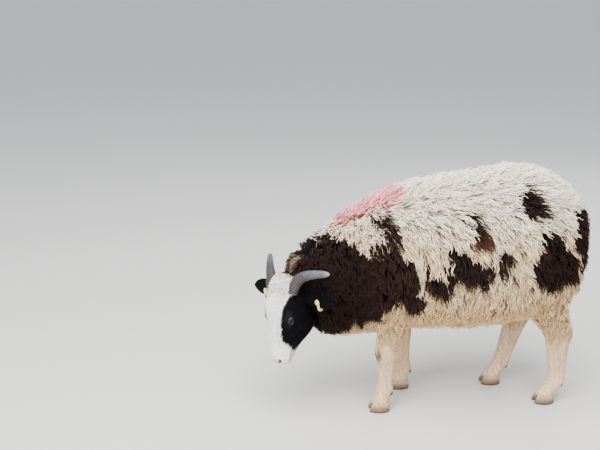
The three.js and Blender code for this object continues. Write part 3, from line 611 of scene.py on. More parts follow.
def new_mesh(name, points, faces):
    """A mesh object from points in the body's plan, smooth all over and facing outwards."""
    mesh = bpy.data.meshes.new(name)
    mesh.from_pydata(in_frame(points).tolist(), [], faces)
    made = bmesh.new()
    made.from_mesh(mesh)
    if made.calc_volume(signed=True) < 0:
        bmesh.ops.reverse_faces(made, faces=made.faces)
    made.to_mesh(mesh)
    made.free()
    mesh.shade_smooth()
    return linked(name, mesh)


def points_of(piece):
    return np.array([v.co for v in piece.data.vertices])


def put_points(piece, points):
    """Moves a mesh's points to places in the body's plan."""
    piece.data.vertices.foreach_set("co", in_frame(points).ravel())
    piece.data.update()


def closed_loft(name, rings):
    """A closed surface over rings of points."""
    rows, count = rings.shape[:2]
    ends = rings[[0, -1]].mean(1)
    points = np.concatenate([rings.reshape(-1, 3), ends])
    faces = []
    for j in range(count):
        k = (j + 1) % count
        faces.append((rows * count, k, j))
        faces.append((rows * count + 1, (rows - 1) * count + j, (rows - 1) * count + k))
        for i in range(rows - 1):
            faces.append((i * count + j, i * count + k, (i + 1) * count + k, (i + 1) * count + j))
    return new_mesh(name, points, faces)


def coat_sheet(outer, depth):
    """A stretch of coat: where its tips reach, and the skin that lies under it by depth."""
    deep = np.broadcast_to(depth, outer.shape[:2])[..., None]
    return {"tips": outer, "skin": outer - outward(outer) * deep}


def on_the_head(surface, depth):
    """A stretch of coat that stands on a surface in the face's lines."""
    return {"skin": to_body(surface), "tips": to_body(surface + depth * outward(surface))}


sheets = {}
t = np.linspace(0, 1, 120)
thinner_at_ends = np.minimum(1, between(TORSO, t)[:, 3:] / 90)
sheets["trunk"] = coat_sheet(torso_rings(t, 112), COAT_DEPTH["trunk"] * thinner_at_ends)
t = np.linspace(0, 1, 80)
sheets["neck"] = coat_sheet(neck_rings(t, 112), (COAT_DEPTH["neck"] - 16 * smooth(0.6, 1, t))[:, None])
t = np.linspace(0, 1, 50)
thinner_at_ends = np.sin(pi * np.clip(0.3 + 0.6 * t, 0, 1))[:, None]
sheets["tail"] = coat_sheet(tail_rings(t, 40), COAT_DEPTH["tail"] * thinner_at_ends)
t = np.linspace(0, 1, 110)
for leg in LEGS:
    rings = leg_rings(leg, t, 48)
    height = rings[:, :1, 2]
    sheets[leg] = coat_sheet(rings, 0.9 + 13 * smooth(196, 262, height))
head_surface = head_rings(200, 224)
sheets["head"] = on_the_head(head_surface, 1.6)
t = np.concatenate([np.linspace(0, 0.9, 44), np.linspace(0.9, 0.997, 14)[1:]])
for name, side in (("ear_left", 1), ("ear_right", -1)):
    surface = ear_rings(side, t, 44)
    sheets[name] = on_the_head(surface, 1.4)

skin = closed_loft("skin", sheets["trunk"]["skin"])
for name in [n for n in sheets if n != "trunk"]:
    part = closed_loft(name + "_form", sheets[name]["skin"])
    union = skin.modifiers.new("union", "BOOLEAN")
    union.operation = "UNION"
    union.solver = "MANIFOLD"
    union.object = part
    bpy.context.view_layer.objects.active = skin
    bpy.ops.object.modifier_apply(modifier="union")
    bpy.data.objects.remove(part)

# The joins of the fused forms are drawn smooth where they show: behind the jaw and at the ear roots
skin_points = np.zeros(len(skin.data.vertices) * 3)
skin.data.vertices.foreach_get("co", skin_points)
skin_points = skin_points.reshape(-1, 3) * 1000 - SHIFT
skin_face = to_face(skin_points)
from_middle = np.abs(skin_face[:, 1])
at_join = skin_face[:, 0] < 20
at_join |= (from_middle > 44) & (from_middle < 62) & (skin_face[:, 0] < 46)
at_join &= skin_points[:, 0] < -400
bpy.ops.object.select_all(action="DESELECT")
skin.select_set(True)
bpy.context.view_layer.objects.active = skin
bpy.ops.object.mode_set(mode="EDIT")
bpy.ops.mesh.select_mode(type="VERT")
bpy.ops.object.mode_set(mode="OBJECT")
skin.data.vertices.foreach_set("select", at_join)
bpy.ops.object.mode_set(mode="EDIT")
bpy.ops.mesh.vertices_smooth(factor=0.5, repeat=4)
bpy.ops.object.mode_set(mode="OBJECT")
skin.data.shade_smooth()


def paint_points(piece, colours):
    """Gives each of a mesh's points its colour."""
    layer = piece.data.color_attributes.new("coat", "FLOAT_COLOR", "POINT")
    flat = np.concatenate([colours, np.ones((len(colours), 1))], 1)
    layer.data.foreach_set("color", flat.astype(np.float32).ravel())


paint_points(skin, hide_colour(skin_points))


def new_node(surface, kind, **numbers):
    """A shader node, with its sockets' numbers under the sockets' names."""
    node = surface.node_tree.nodes.new("ShaderNode" + kind)
    for socket, number in numbers.items():
        node.inputs[socket.replace("_", " ")].default_value = number
    return node


def coloured_surface(name, rough, sheen, mottle, mottle_size):
    """A surface coloured by its points, a little uneven, and the shader that it ends in."""
    surface = bpy.data.materials.new(name)
    surface.use_nodes = True
    links = surface.node_tree.links
    shader = surface.node_tree.nodes["Principled BSDF"]
    shader.inputs["Roughness"].default_value = rough
    shader.inputs["Sheen Weight"].default_value = sheen
    shader.inputs["Sheen Roughness"].default_value = 0.5
    shader.inputs["Specular IOR Level"].default_value = 0.12
    colour = new_node(surface, "Attribute")
    colour.attribute_name = "coat"
    place = new_node(surface, "TexCoord")
    noise = new_node(surface, "TexNoise", Scale=mottle_size, Detail=4)
    spread = new_node(surface, "MapRange", From_Min=0.3, From_Max=0.7, To_Min=1 - mottle, To_Max=1 + mottle)
    mixed = new_node(surface, "Mix")
    mixed.data_type = "RGBA"
    mixed.blend_type = "MULTIPLY"
    mixed.inputs["Factor"].default_value = 1
    links.new(place.outputs["Object"], noise.inputs["Vector"])
    links.new(noise.outputs["Fac"], spread.inputs["Value"])
    links.new(colour.outputs["Color"], mixed.inputs["A"])
    links.new(spread.outputs["Result"], mixed.inputs["B"])
    links.new(mixed.outputs["Result"], shader.inputs["Base Color"])
    return surface, shader


def rough_up(surface, shader, stretch, turn, scale, strength, distance):
    """Short hair as fine bumps, drawn out along the way that it lies."""
    links = surface.node_tree.links
    place = new_node(surface, "TexCoord")
    lie = new_node(surface, "Mapping", Rotation=turn, Scale=stretch)
    hair = new_node(surface, "TexNoise", Scale=scale, Detail=5)
    bump = new_node(surface, "Bump", Strength=strength, Distance=distance)
    links.new(place.outputs["Object"], lie.inputs["Vector"])
    links.new(lie.outputs["Vector"], hair.inputs["Vector"])
    links.new(hair.outputs["Fac"], bump.inputs["Height"])
    links.new(bump.outputs["Normal"], shader.inputs["Normal"])


skin.data.materials.clear()
skin.data.polygons.foreach_set("material_index", np.zeros(len(skin.data.polygons), np.int32))
hide, hide_shader = coloured_surface("hide_with_short_hair", 0.78, 0.03, 0.1, 90)
rough_up(hide, hide_shader, (1, 1, 0.25), (0, radians(-12), 0), 520, 0.55, 0.0012)
skin.data.materials.append(hide)
flesh = ["neck", "shoulders", "barrel", "hindquarters", "tail", "head", "ear_left", "ear_right"]
flesh += [f"{part}_leg_{leg}" for part in ("upper", "lower") for leg in LEGS]
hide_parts(*flesh)
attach(skin, "root")

# The eyes: wet balls sunk in the orbits, nearly black, with the level, slot-shaped pupil of a sheep
# and a slightly raised front. Lid rims painted dark grey as a painted highlight are rolled round them.
PUPIL = (5.6, 2.2)  # half length and half height
IRIS = 8.2
BALL_DARK = rgb(12, 10, 9)
IRIS_BROWN = rgb(38, 24, 13)
IRIS_EDGE = rgb(18, 12, 9)
PUPIL_BLACK = rgb(6, 6, 8)
RIM_PAINTED_HIGHLIGHT = rgb(46, 43, 49)


def eye_ball(name, side):
    middle, out, long, high = eye_lines(side)
    bpy.ops.object.select_all(action="DESELECT")
    bpy.ops.mesh.primitive_uv_sphere_add(segments=72, ring_count=96, radius=EYE_RADIUS / 1000)
    ball = bpy.context.object
    ball.name = name
    p = points_of(ball) * 1000
    rise = 1.0 * np.maximum(0, 1 - (np.hypot(p[:, 0], p[:, 1]) / IRIS) ** 2) * (p[:, 2] > 0)
    p[:, 2] += rise
    a, b = p[:, 0], p[:, 1]
    body_points = to_body(middle + a[:, None] * long + b[:, None] * high + p[:, 2:] * out)
    if np.linalg.det(np.stack([long, high, out])) < 0:
        ball.data.flip_normals()
    put_points(ball, body_points)
    front = p[:, 2] > 0
    iris = smooth(IRIS + 0.5, IRIS - 0.5, np.hypot(a, b)) * front
    pupil = smooth(1.15, 0.9, (np.abs(a) / PUPIL[0]) ** 4 + (np.abs(b) / PUPIL[1]) ** 2) * front
    colours = blended(plain(BALL_DARK, p.shape), IRIS_BROWN, iris)
    colours = blended(colours, IRIS_EDGE, 0.85 * smooth(IRIS - 1.8, IRIS, np.hypot(a, b)) * iris)
    paint_points(ball, blended(colours, PUPIL_BLACK, pupil))
    ball.data.shade_smooth()
    wet, shader = coloured_surface(name + "_wet", 0.06, 0.0, 0.12, 900)
    shader.inputs["Specular IOR Level"].default_value = 0.14
    shader.inputs["Coat Weight"].default_value = 0.07
    shader.inputs["Coat Roughness"].default_value = 0.03
    ball.data.materials.append(wet)
    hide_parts(name)
    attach(ball, "root")


def tube(path, radii, sides, closed=False):
    """Rings of points round a path, with its own width at each of them."""
    along = unit(np.roll(path, -1, 0) - np.roll(path, 1, 0) if closed else np.gradient(path, axis=0))
    guide = unit(path - path.mean(0))
    across = unit(np.cross(along, guide))
    up = np.cross(across, along)
    angle = round_angles(sides)
    return path[:, None] + radii[:, None, None] * (
        across[:, None] * np.cos(angle)[None, :, None] + up[:, None] * np.sin(angle)[None, :, None]
    )


def lid_rims(name, side):
    """Both lids' rolled edges, thick above and thin below, meeting at the eye's corners."""
    middle, out, long, high = eye_lines(side)
    turns, sides = 72, 10
    angle = round_angles(turns)
    a = LID_LONG * 1.03 * np.cos(angle)
    height = LID_OPEN * np.where(np.sin(angle) > 0, *LID_SHARES)
    b = np.sign(np.sin(angle)) * height * (1 - np.cos(angle) ** 2) ** 0.72
    n = np.sqrt(13.2**2 - np.minimum(np.hypot(a, b), 12.9) ** 2)
    path = middle + a[:, None] * long + b[:, None] * high + n[:, None] * out
    radii = 0.8 + 0.75 * np.clip(np.sin(angle), 0, 1) + 0.3 * np.clip(-np.sin(angle), 0, 1)
    rings = tube(path, radii, sides, closed=True)
    points, faces = to_body(rings).reshape(-1, 3), []
    for i in range(turns):
        for j in range(sides):
            here, there = i * sides, ((i + 1) % turns) * sides
            faces.append((here + j, here + (j + 1) % sides, there + (j + 1) % sides, there + j))
    rims = new_mesh(name, points, faces)
    # The rims' grey is a painted highlight on black skin
    paint_points(rims, plain(RIM_PAINTED_HIGHLIGHT, points.shape))
    damp_skin, _ = coloured_surface(name + "_skin", 0.32, 0.0, 0.2, 600)
    rims.data.materials.append(damp_skin)
    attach(rims, "root")


for word, side in (("left", 1), ("right", -1)):
    eye_ball("eye_" + word, side)
    lid_rims("lid_rims_" + word, side)

# The horns: hollow keratin sheaths over bone cores, grown in rings from the skull. They curve back,
# out and down beside the neck, grey-brown and ridged at the base, pale and smooth at the tip.
HORN_PATHS = {
    "left": (1, [[10, 44, -18], [-35.5, 53.6, -12], [-45.6, 70.4, -20.4], [-54.8, 127.7, -63]]),
    "right": (-1, [[5, 41, -20], [-41, 51.3, -6.8], [-53, 73.1, -22.6], [-78, 127.7, -67]]),
}
HORN_GREY = rgb(71, 65, 66)
HORN_GROOVE = rgb(34, 29, 28)
HORN_MIDDLE = rgb(86, 83, 87)
HORN_TIP = rgb(142, 138, 140)
HORN_BASE = (18.5, 14.0)  # half widths at the skull
HORN_RIDGES = 17
HORN_ROWS = 170
HORN_SIDES = 48


def horn(name, side, controls):
    a, b, c, d = np.array(controls, float) * (1, side, 1)
    t = np.linspace(0, 1, HORN_ROWS)[:, None]
    centre = a * (1 - t) ** 3 + 3 * b * t * (1 - t) ** 2 + 3 * c * t * t * (1 - t) + d * t**3
    along = unit(np.gradient(centre, axis=0))
    wide = unit(np.array([1.0, 0, 0]) - along * along[:, :1])
    across = np.cross(along, wide)
    blunt_end = np.sqrt(1 - np.minimum(np.maximum(0, (t - 0.9) / 0.101) ** 2, 0.995))
    taper = (1 - 0.42 * t - 0.14 * t**4) * blunt_end
    angle = round_angles(HORN_SIDES)[None]
    # Growth rings crowd towards the base, lean round the horn and break into finer lines
    phase = HORN_RIDGES * (t + 0.012 * np.cos(angle) + 0.008 * np.sin(2 * angle))
    ring = np.abs(np.sin(pi * phase)) ** 0.7
    fine = np.sin(2 * pi * (49 * t + 0.2 * np.sin(3 * angle)))
    ridge = 1 + (0.07 * (ring - 0.6) + 0.006 * fine) * (1 - t) ** 0.6
    ribs = 1 + 0.012 * np.sin(7 * angle + 3 * t)
    size = taper * ridge * ribs
    rings = centre[:, None] + wide[:, None] * (HORN_BASE[0] * size * np.cos(angle))[..., None]
    rings = rings + across[:, None] * (HORN_BASE[1] * size * np.sin(angle))[..., None]
    made = closed_loft("horn_sheath_" + name, to_body(rings))
    groove = 0.85 * (1 - ring) * (1 - t) ** 0.4
    colour = blended(plain(HORN_GREY, (HORN_ROWS, HORN_SIDES, 3)), HORN_GROOVE, groove)
    colour = blended(colour, HORN_MIDDLE, smooth(0.45, 0.8, t))
    colour = blended(colour, HORN_TIP, smooth(0.9, 1.0, t + 0.02 * fine))
    ends = np.stack([colour[0].mean(0), colour[-1].mean(0)])
    paint_points(made, np.concatenate([colour.reshape(-1, 3), ends]))
    keratin, shader = coloured_surface("keratin_" + name, 0.48, 0.0, 0.22, 160)
    rough_up(keratin, shader, (1, 1, 1), (0, 0, 0), 900, 0.35, 0.0007)
    made.data.materials.append(keratin)
    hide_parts("horn_" + name)
    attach(made, "root")


for name, (side, controls) in HORN_PATHS.items():
    horn(name, side, controls)

# The hooves: two pointed claws to each foot, of horn that is dark at the bottom and paler higher up,
# flat below, and two small dewclaws behind each fetlock.
HOOF_DARK = rgb(70, 56, 46)
HOOF_BROWN = rgb(128, 106, 86)
HOOF_PALE = rgb(190, 160, 132)
DEWCLAW_BROWN = rgb(96, 76, 60)
CLAW_LONG = 56.0
CLAW_WIDE = 23.0
CLAW_SPLIT = 2.4
CLAW_STEPS = (  # height, share of length, share of width, how far its middle is moved back
    (0.0, 0.985, 0.93, 0.0), (1.4, 1.0, 0.97, 0.0), (7.0, 1.0, 1.0, 0.0), (12.0, 0.965, 1.0, 0.8),
    (16.0, 0.93, 0.99, 1.6), (21.0, 0.875, 0.965, 2.8), (24.9, 0.84, 0.94, 3.4), (27.0, 0.76, 0.86, 3.8),
)


def claw_model():
    """One claw at the origin: its outline is drawn out of the sole in steps."""
    bpy.ops.object.select_all(action="DESELECT")
    bpy.ops.mesh.primitive_circle_add(vertices=48, radius=0.5, fill_type="NGON")
    claw = bpy.context.object
    for v in claw.data.vertices:
        toe = 1 - 1.4 * v.co.x**2 if v.co.x < 0 else 1
        v.co = (v.co.x * CLAW_LONG / 1000, v.co.y * CLAW_WIDE * toe / 1000, 0)
    bpy.ops.object.mode_set(mode="EDIT")
    bpy.ops.mesh.select_all(action="SELECT")
    for before, step in zip(CLAW_STEPS, CLAW_STEPS[1:]):
        rise, back = (step[0] - before[0]) / 1000, (step[3] - before[3]) / 1000
        bpy.ops.mesh.extrude_region_move(TRANSFORM_OT_translate={"value": (back, 0, rise)})
        bpy.ops.transform.resize(value=(step[1] / before[1], step[2] / before[2], 1))
    bpy.ops.mesh.select_all(action="SELECT")
    bpy.ops.mesh.normals_make_consistent(inside=False)
    bpy.ops.object.mode_set(mode="OBJECT")
    return claw


hoof_horn, hoof_shader = coloured_surface("hoof_horn", 0.5, 0.0, 0.25, 140)
rough_up(hoof_horn, hoof_shader, (0.4, 0.4, 2.2), (0, 0, 0), 420, 0.4, 0.0007)
claw_form = claw_model()
claw_shape = points_of(claw_form) * 1000
for leg, (side, _, _, _, _, foot) in LEGS.items():
    for word, which in (("outer", side), ("inner", -side)):
        claw = linked(f"claw_{word}_{leg}", claw_form.data.copy())
        place = np.array([foot[0] - 2, side * foot[1] + which * (CLAW_SPLIT + CLAW_WIDE) / 2, 0])
        put_points(claw, claw_shape + place)
        rounded = claw.modifiers.new("worn_edges", "SUBSURF")
        rounded.levels = rounded.render_levels = 1
        bpy.context.view_layer.objects.active = claw
        bpy.ops.object.modifier_apply(modifier="worn_edges")
        height = points_of(claw)[:, 2] * 1000
        shade = blended(plain(HOOF_DARK, (len(height), 3)), HOOF_BROWN, smooth(0, 9, height))
        paint_points(claw, blended(shade, HOOF_PALE, smooth(10, 24, height)))
        claw.data.shade_smooth()
        claw.data.materials.append(hoof_horn)
        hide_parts(f"hoof_{word}_{leg}")
        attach(claw, "root")
    for word, which in (("outer", 1), ("inner", -1)):
        bpy.ops.object.select_all(action="DESELECT")
        bpy.ops.mesh.primitive_uv_sphere_add(segments=20, ring_count=12, radius=1)
        dewclaw = bpy.context.object
        dewclaw.name = f"dewclaw_{word}_{leg}"
        shin_skin = sheets[leg]["skin"]
        fetlock = shin_skin[np.abs(shin_skin[..., 2].mean(1) - 52).argmin()]
        p = points_of(dewclaw)
        p = p * np.array([5.4, 5.0, 8.0]) * np.where(p[:, 2:] < 0, 1 - 0.35 * np.abs(p[:, 2:]), 1)
        p += np.array([fetlock[:, 0].max() - 1.8, fetlock[:, 1].mean() + which * 7.5, fetlock[:, 2].mean()])
        put_points(dewclaw, p)
        dewclaw.data.shade_smooth()
        paint_points(dewclaw, plain(DEWCLAW_BROWN, p.shape))
        dewclaw.data.materials.append(hoof_horn)
        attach(dewclaw, "root")
bpy.data.objects.remove(claw_form)

# The ear tags: a strip of soft yellow plastic folded round each ear's lower edge, with a round stud
# through it. They carry no number.
TAG_DULL = rgb(196, 180, 84)
TAG_YELLOW = rgb(238, 228, 128)
TAG_AT = 0.5  # share of the ear's length
TAG_WIDE = 8.5
TAG_TALL = 21.0
TAG_STUD = 7.8
TAG_SLANT = radians(26)
TAG_THICK = 1.7
tag_plastic = bpy.data.materials.new("tag_plastic")
tag_plastic.use_nodes = True
tag_links = tag_plastic.node_tree.links
tag_shader = tag_plastic.node_tree.nodes["Principled BSDF"]
tag_shader.inputs["Roughness"].default_value = 0.42
tag_scuff = new_node(tag_plastic, "TexNoise", Scale=260)
tag_tone = new_node(tag_plastic, "ValToRGB")
for element, position, tone in zip(tag_tone.color_ramp.elements, (0.35, 0.6), (TAG_DULL, TAG_YELLOW)):
    element.position = position
    element.color = (*tone, 1)
tag_place = new_node(tag_plastic, "TexCoord")
tag_links.new(tag_place.outputs["Object"], tag_scuff.inputs["Vector"])
tag_links.new(tag_scuff.outputs["Fac"], tag_tone.inputs["Fac"])
tag_links.new(tag_tone.outputs["Color"], tag_shader.inputs["Base Color"])


def ear_tag(name, side):
    root, along, length, opening, across = ear_lines(side)
    half = float(ear_half(np.array(TAG_AT)))
    level_down = across if across[0] > 0 else -across
    down = level_down * cos(TAG_SLANT) + along * sin(TAG_SLANT)
    width_way = along * cos(TAG_SLANT) - level_down * sin(TAG_SLANT)
    cup = ear_cup(TAG_AT, half)
    clear = EAR_THICK / 2 + 1.7 + TAG_THICK / 2
    centre = root + along * TAG_AT * length + opening * (-EAR_SAG * TAG_AT**2 + cup * 0.28)
    centre = centre + down * (half - TAG_TALL + 6)
    bpy.ops.object.select_all(action="DESELECT")
    bpy.ops.mesh.primitive_grid_add(x_subdivisions=44, y_subdivisions=8, size=1)
    tag = bpy.context.object
    tag.name = "ear_tag_strip_" + name
    run = 2 * TAG_TALL + pi * clear
    points = []
    for v in tag.data.vertices:
        s, w = (v.co.x + 0.5) * run, v.co.y * TAG_WIDE
        turn = np.clip((s - TAG_TALL) / clear, 0, pi)
        flat = min(s, TAG_TALL) if s < TAG_TALL + pi * clear else run - s
        reach = flat + clear * np.sin(turn)
        points.append(centre + down * reach + opening * (-clear * np.cos(turn)) + width_way * w)
    put_points(tag, to_body(np.array(points)))
    wall = tag.modifiers.new("thickness", "SOLIDIFY")
    wall.thickness = TAG_THICK / 1000
    wall.offset = 0
    edge = tag.modifiers.new("soft_edge", "BEVEL")
    edge.width = 0.0004
    edge.segments = 2
    for modifier in ("thickness", "soft_edge"):
        bpy.ops.object.modifier_apply(modifier=modifier)
    for stand in (1, -1):
        bpy.ops.object.select_all(action="DESELECT")
        bpy.ops.mesh.primitive_cylinder_add(vertices=32, radius=TAG_STUD, depth=2.2)
        stud = bpy.context.object
        p = points_of(stud)
        p[:, :2] *= np.where(p[:, 2:] * stand > 0, 0.8, 1)
        lift = stand * (clear + TAG_THICK / 2 + 0.5)
        spot = centre + down * 3 + opening * lift
        p = spot + p[:, :1] * down + p[:, 1:2] * width_way + p[:, 2:] * opening
        put_points(stud, to_body(p))
        tag.select_set(True)
        bpy.context.view_layer.objects.active = tag
        bpy.ops.object.join()
    bpy.ops.object.mode_set(mode="EDIT")
    bpy.ops.mesh.select_all(action="SELECT")
    bpy.ops.mesh.normals_make_consistent(inside=False)
    bpy.ops.object.mode_set(mode="OBJECT")
    bpy.ops.object.shade_smooth_by_angle(angle=radians(40))
    tag.data.materials.append(tag_plastic)
    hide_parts("ear_tag_" + name)
    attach(tag, "root")


for name, side in (("left", 1), ("right", -1)):
    ear_tag(name, side)

# The coat: locks of solid strands that lean over one another along the lie of the wool, from the
# skin out to the fleece's outline. Each strand is a tapering three-sided tube with its own colour.
STRANDS = 4  # in each lock
STRAND_SHARES = np.array([0, 0.27, 0.47, 0.65, 0.8, 0.92, 1.0])
STRAND_SHAPE = np.array([0.75, 0.98, 1.0, 1.0, 0.88, 0.6, 0.1])
SEEN = 3  # the step of a strand whose place gives its colour


def sampled(grid, u, v):
    """The point of a sheet at u along it and v round it, each from 0 to 1."""
    rows, count = grid.shape[:2]
    x = np.clip(u, 0, 1) * (rows - 1)
    i = np.minimum(x.astype(int), rows - 2)
    a = (x - i)[..., None]
    y = np.mod(v, 1) * count
    j = np.minimum(y.astype(int), count - 1)
    k = (j + 1) % count
    b = (y - j)[..., None]
    before = grid[i, j] * (1 - b) + grid[i, k] * b
    after = grid[i + 1, j] * (1 - b) + grid[i + 1, k] * b
    return before * (1 - a) + after * a


def scattered(sheet, count, draw, keep):
    """Places on a sheet, evenly spread over its own size, where keep allows them."""
    tips = sheet["tips"]
    down = tips[1:] - tips[:-1]
    around = np.roll(tips, -1, 1) - tips
    area = np.linalg.norm(np.cross(down, around[:-1]), axis=-1)
    middle = (tips[1:] + tips[:-1]) / 2
    area = area * keep(middle)
    total = np.cumsum(area.ravel())
    place = (np.arange(count) + draw.random(count)) / count * total[-1]
    cell = np.minimum(np.searchsorted(total, place), area.size - 1)
    i, j = np.divmod(cell, area.shape[1])
    return (i + draw.random(count)) / (len(tips) - 1), (j + draw.random(count)) / area.shape[1]


def walked(sheet, u, v, way, steps):
    """Runs from places on a sheet along a way that turns with it: u, v and the lines at each step."""
    e = 0.004
    tips = sheet["tips"]
    track, ahead, outs = [], [], []
    for step in steps:
        du = sampled(tips, u + e, v) - sampled(tips, u - e, v)
        du = du / (np.minimum(u + e, 1) - np.maximum(u - e, 0))[:, None]
        dv = (sampled(tips, u, v + e) - sampled(tips, u, v - e)) / (2 * e)
        out = unit(np.cross(du, dv))
        out *= np.sign((out * (sampled(tips, u, v) - sampled(sheet["skin"], u, v))).sum(-1, keepdims=True))
        here = sampled(tips, u, v)
        wish = way(here)
        wish = unit(wish - out * (wish * out).sum(-1, keepdims=True))
        track.append((u, v))
        ahead.append(wish)
        outs.append(out)
        aa, bb, ab = (du * du).sum(-1), (dv * dv).sum(-1), (du * dv).sum(-1)
        pa, pb = (du * wish).sum(-1), (dv * wish).sum(-1)
        det = np.maximum(aa * bb - ab * ab, 1e-6)
        u = np.clip(u + step * (pa * bb - pb * ab) / det, 0, 1)
        v = v + step * (pb * aa - pa * ab) / det
    return track, np.stack(ahead, 1), np.stack(outs, 1)


def strand_piece(name, paths, outs, radii, flat, colours, roots, surface):
    """One joined mesh of strands, each a patch on the skin's own unwrap."""
    count, rings = paths.shape[:2]
    along = unit(np.gradient(paths, axis=1))
    across = unit(np.cross(along, outs))
    up = np.cross(across, along)
    angle = np.array([pi / 2, pi / 2 + 2 * pi / 3, pi / 2 + 4 * pi / 3])
    body = slice(0, rings - 1)
    round_it = across[:, body, None] * np.cos(angle)[None, None, :, None]
    round_it = round_it + flat * up[:, body, None] * np.sin(angle)[None, None, :, None]
    tube_points = paths[:, body, None] + radii[:, body, None, None] * round_it
    each = (rings - 1) * 3 + 1
    points = np.concatenate([tube_points.reshape(count, -1, 3), paths[:, -1:]], 1)
    base = (np.arange(count) * each)[:, None]
    k, j = np.divmod(np.arange((rings - 2) * 3), 3)
    n = (j + 1) % 3
    quads = np.stack([k * 3 + j, k * 3 + 3 + j, k * 3 + 3 + n, k * 3 + n], 1)
    last = (rings - 2) * 3
    ends = np.array([[last + q, each - 1, last + (q + 1) % 3] for q in range(3)] + [[0, 1, 2]])
    corners = np.concatenate([
        (base + quads.ravel()[None]).reshape(count, -1), (base + ends.ravel()[None]).reshape(count, -1),
    ], 1)
    lengths = np.tile(np.array([4] * len(quads) + [3] * 4), count)
    mesh = bpy.data.meshes.new(name)
    mesh.vertices.add(count * each)
    mesh.vertices.foreach_set("co", in_frame(points.reshape(-1, 3)).astype(np.float32).ravel())
    mesh.loops.add(corners.size)
    mesh.loops.foreach_set("vertex_index", corners.ravel().astype(np.int32))
    mesh.polygons.add(len(lengths))
    mesh.polygons.foreach_set("loop_start", np.concatenate([[0], np.cumsum(lengths)[:-1]]).astype(np.int32))
    mesh.update(calc_edges=True)
    mesh.shade_smooth()
    ring_place = np.concatenate([np.repeat(np.arange(rings - 1), 3), [rings - 1]]) / (rings - 1) - 0.5
    side_place = np.concatenate([np.tile([0.0, 1.0, -1.0], rings - 1), [0.0]])
    patch = np.stack([side_place * 0.0013, ring_place * 0.003], 1)
    where = (roots[:, None] + patch[None]).reshape(-1, 2)
    layer = mesh.uv_layers.new(name="OFBake")
    layer.data.foreach_set("uv", where[corners.ravel()].astype(np.float32).ravel())
    piece = linked(name, mesh)
    shades = np.concatenate([np.repeat(colours[:, body], 3, axis=1), colours[:, -1:]], 1)
    paint_points(piece, np.clip(shades.reshape(-1, 3), 0, 1))
    mesh.materials.append(surface)
    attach(piece, "root")
    return piece


wool_surface, wool_shader = coloured_surface("wool", 0.92, 0.02, 0.08, 260)
rough_up(wool_surface, wool_shader, (1, 1, 1), (0, 0, 0), 800, 0.4, 0.001)


def backwards_and_down(back_low, back_high, draw_seed):
    """The lie of the wool: down the sides, and further back the higher it grows."""

    def way(p):
        high = smooth(400, 650, p[..., 2])
        swing = 0.2 * ripple(p, 120, draw_seed) + 0.26 * ripple(p, 40, draw_seed + 1)
        back = back_low + (back_high - back_low) * high + swing
        return np.stack([back, 0.2 * ripple(p, 60, draw_seed + 2), -np.ones(high.shape)], -1)

    return way


def between_skin_and_tips(sheet, track, rise):
    """The walked places at each step, raised from the skin towards the tips by rise."""
    line = []
    for k, place in enumerate(track):
        up = rise[:, k : k + 1]
        line.append(sampled(sheet["skin"], *place) * (1 - up) + sampled(sheet["tips"], *place) * up)
    return np.stack(line, 1)


def per_strand(values):
    """A number for each lock, given to each of its strands."""
    return np.repeat(values, STRANDS)[:, None]


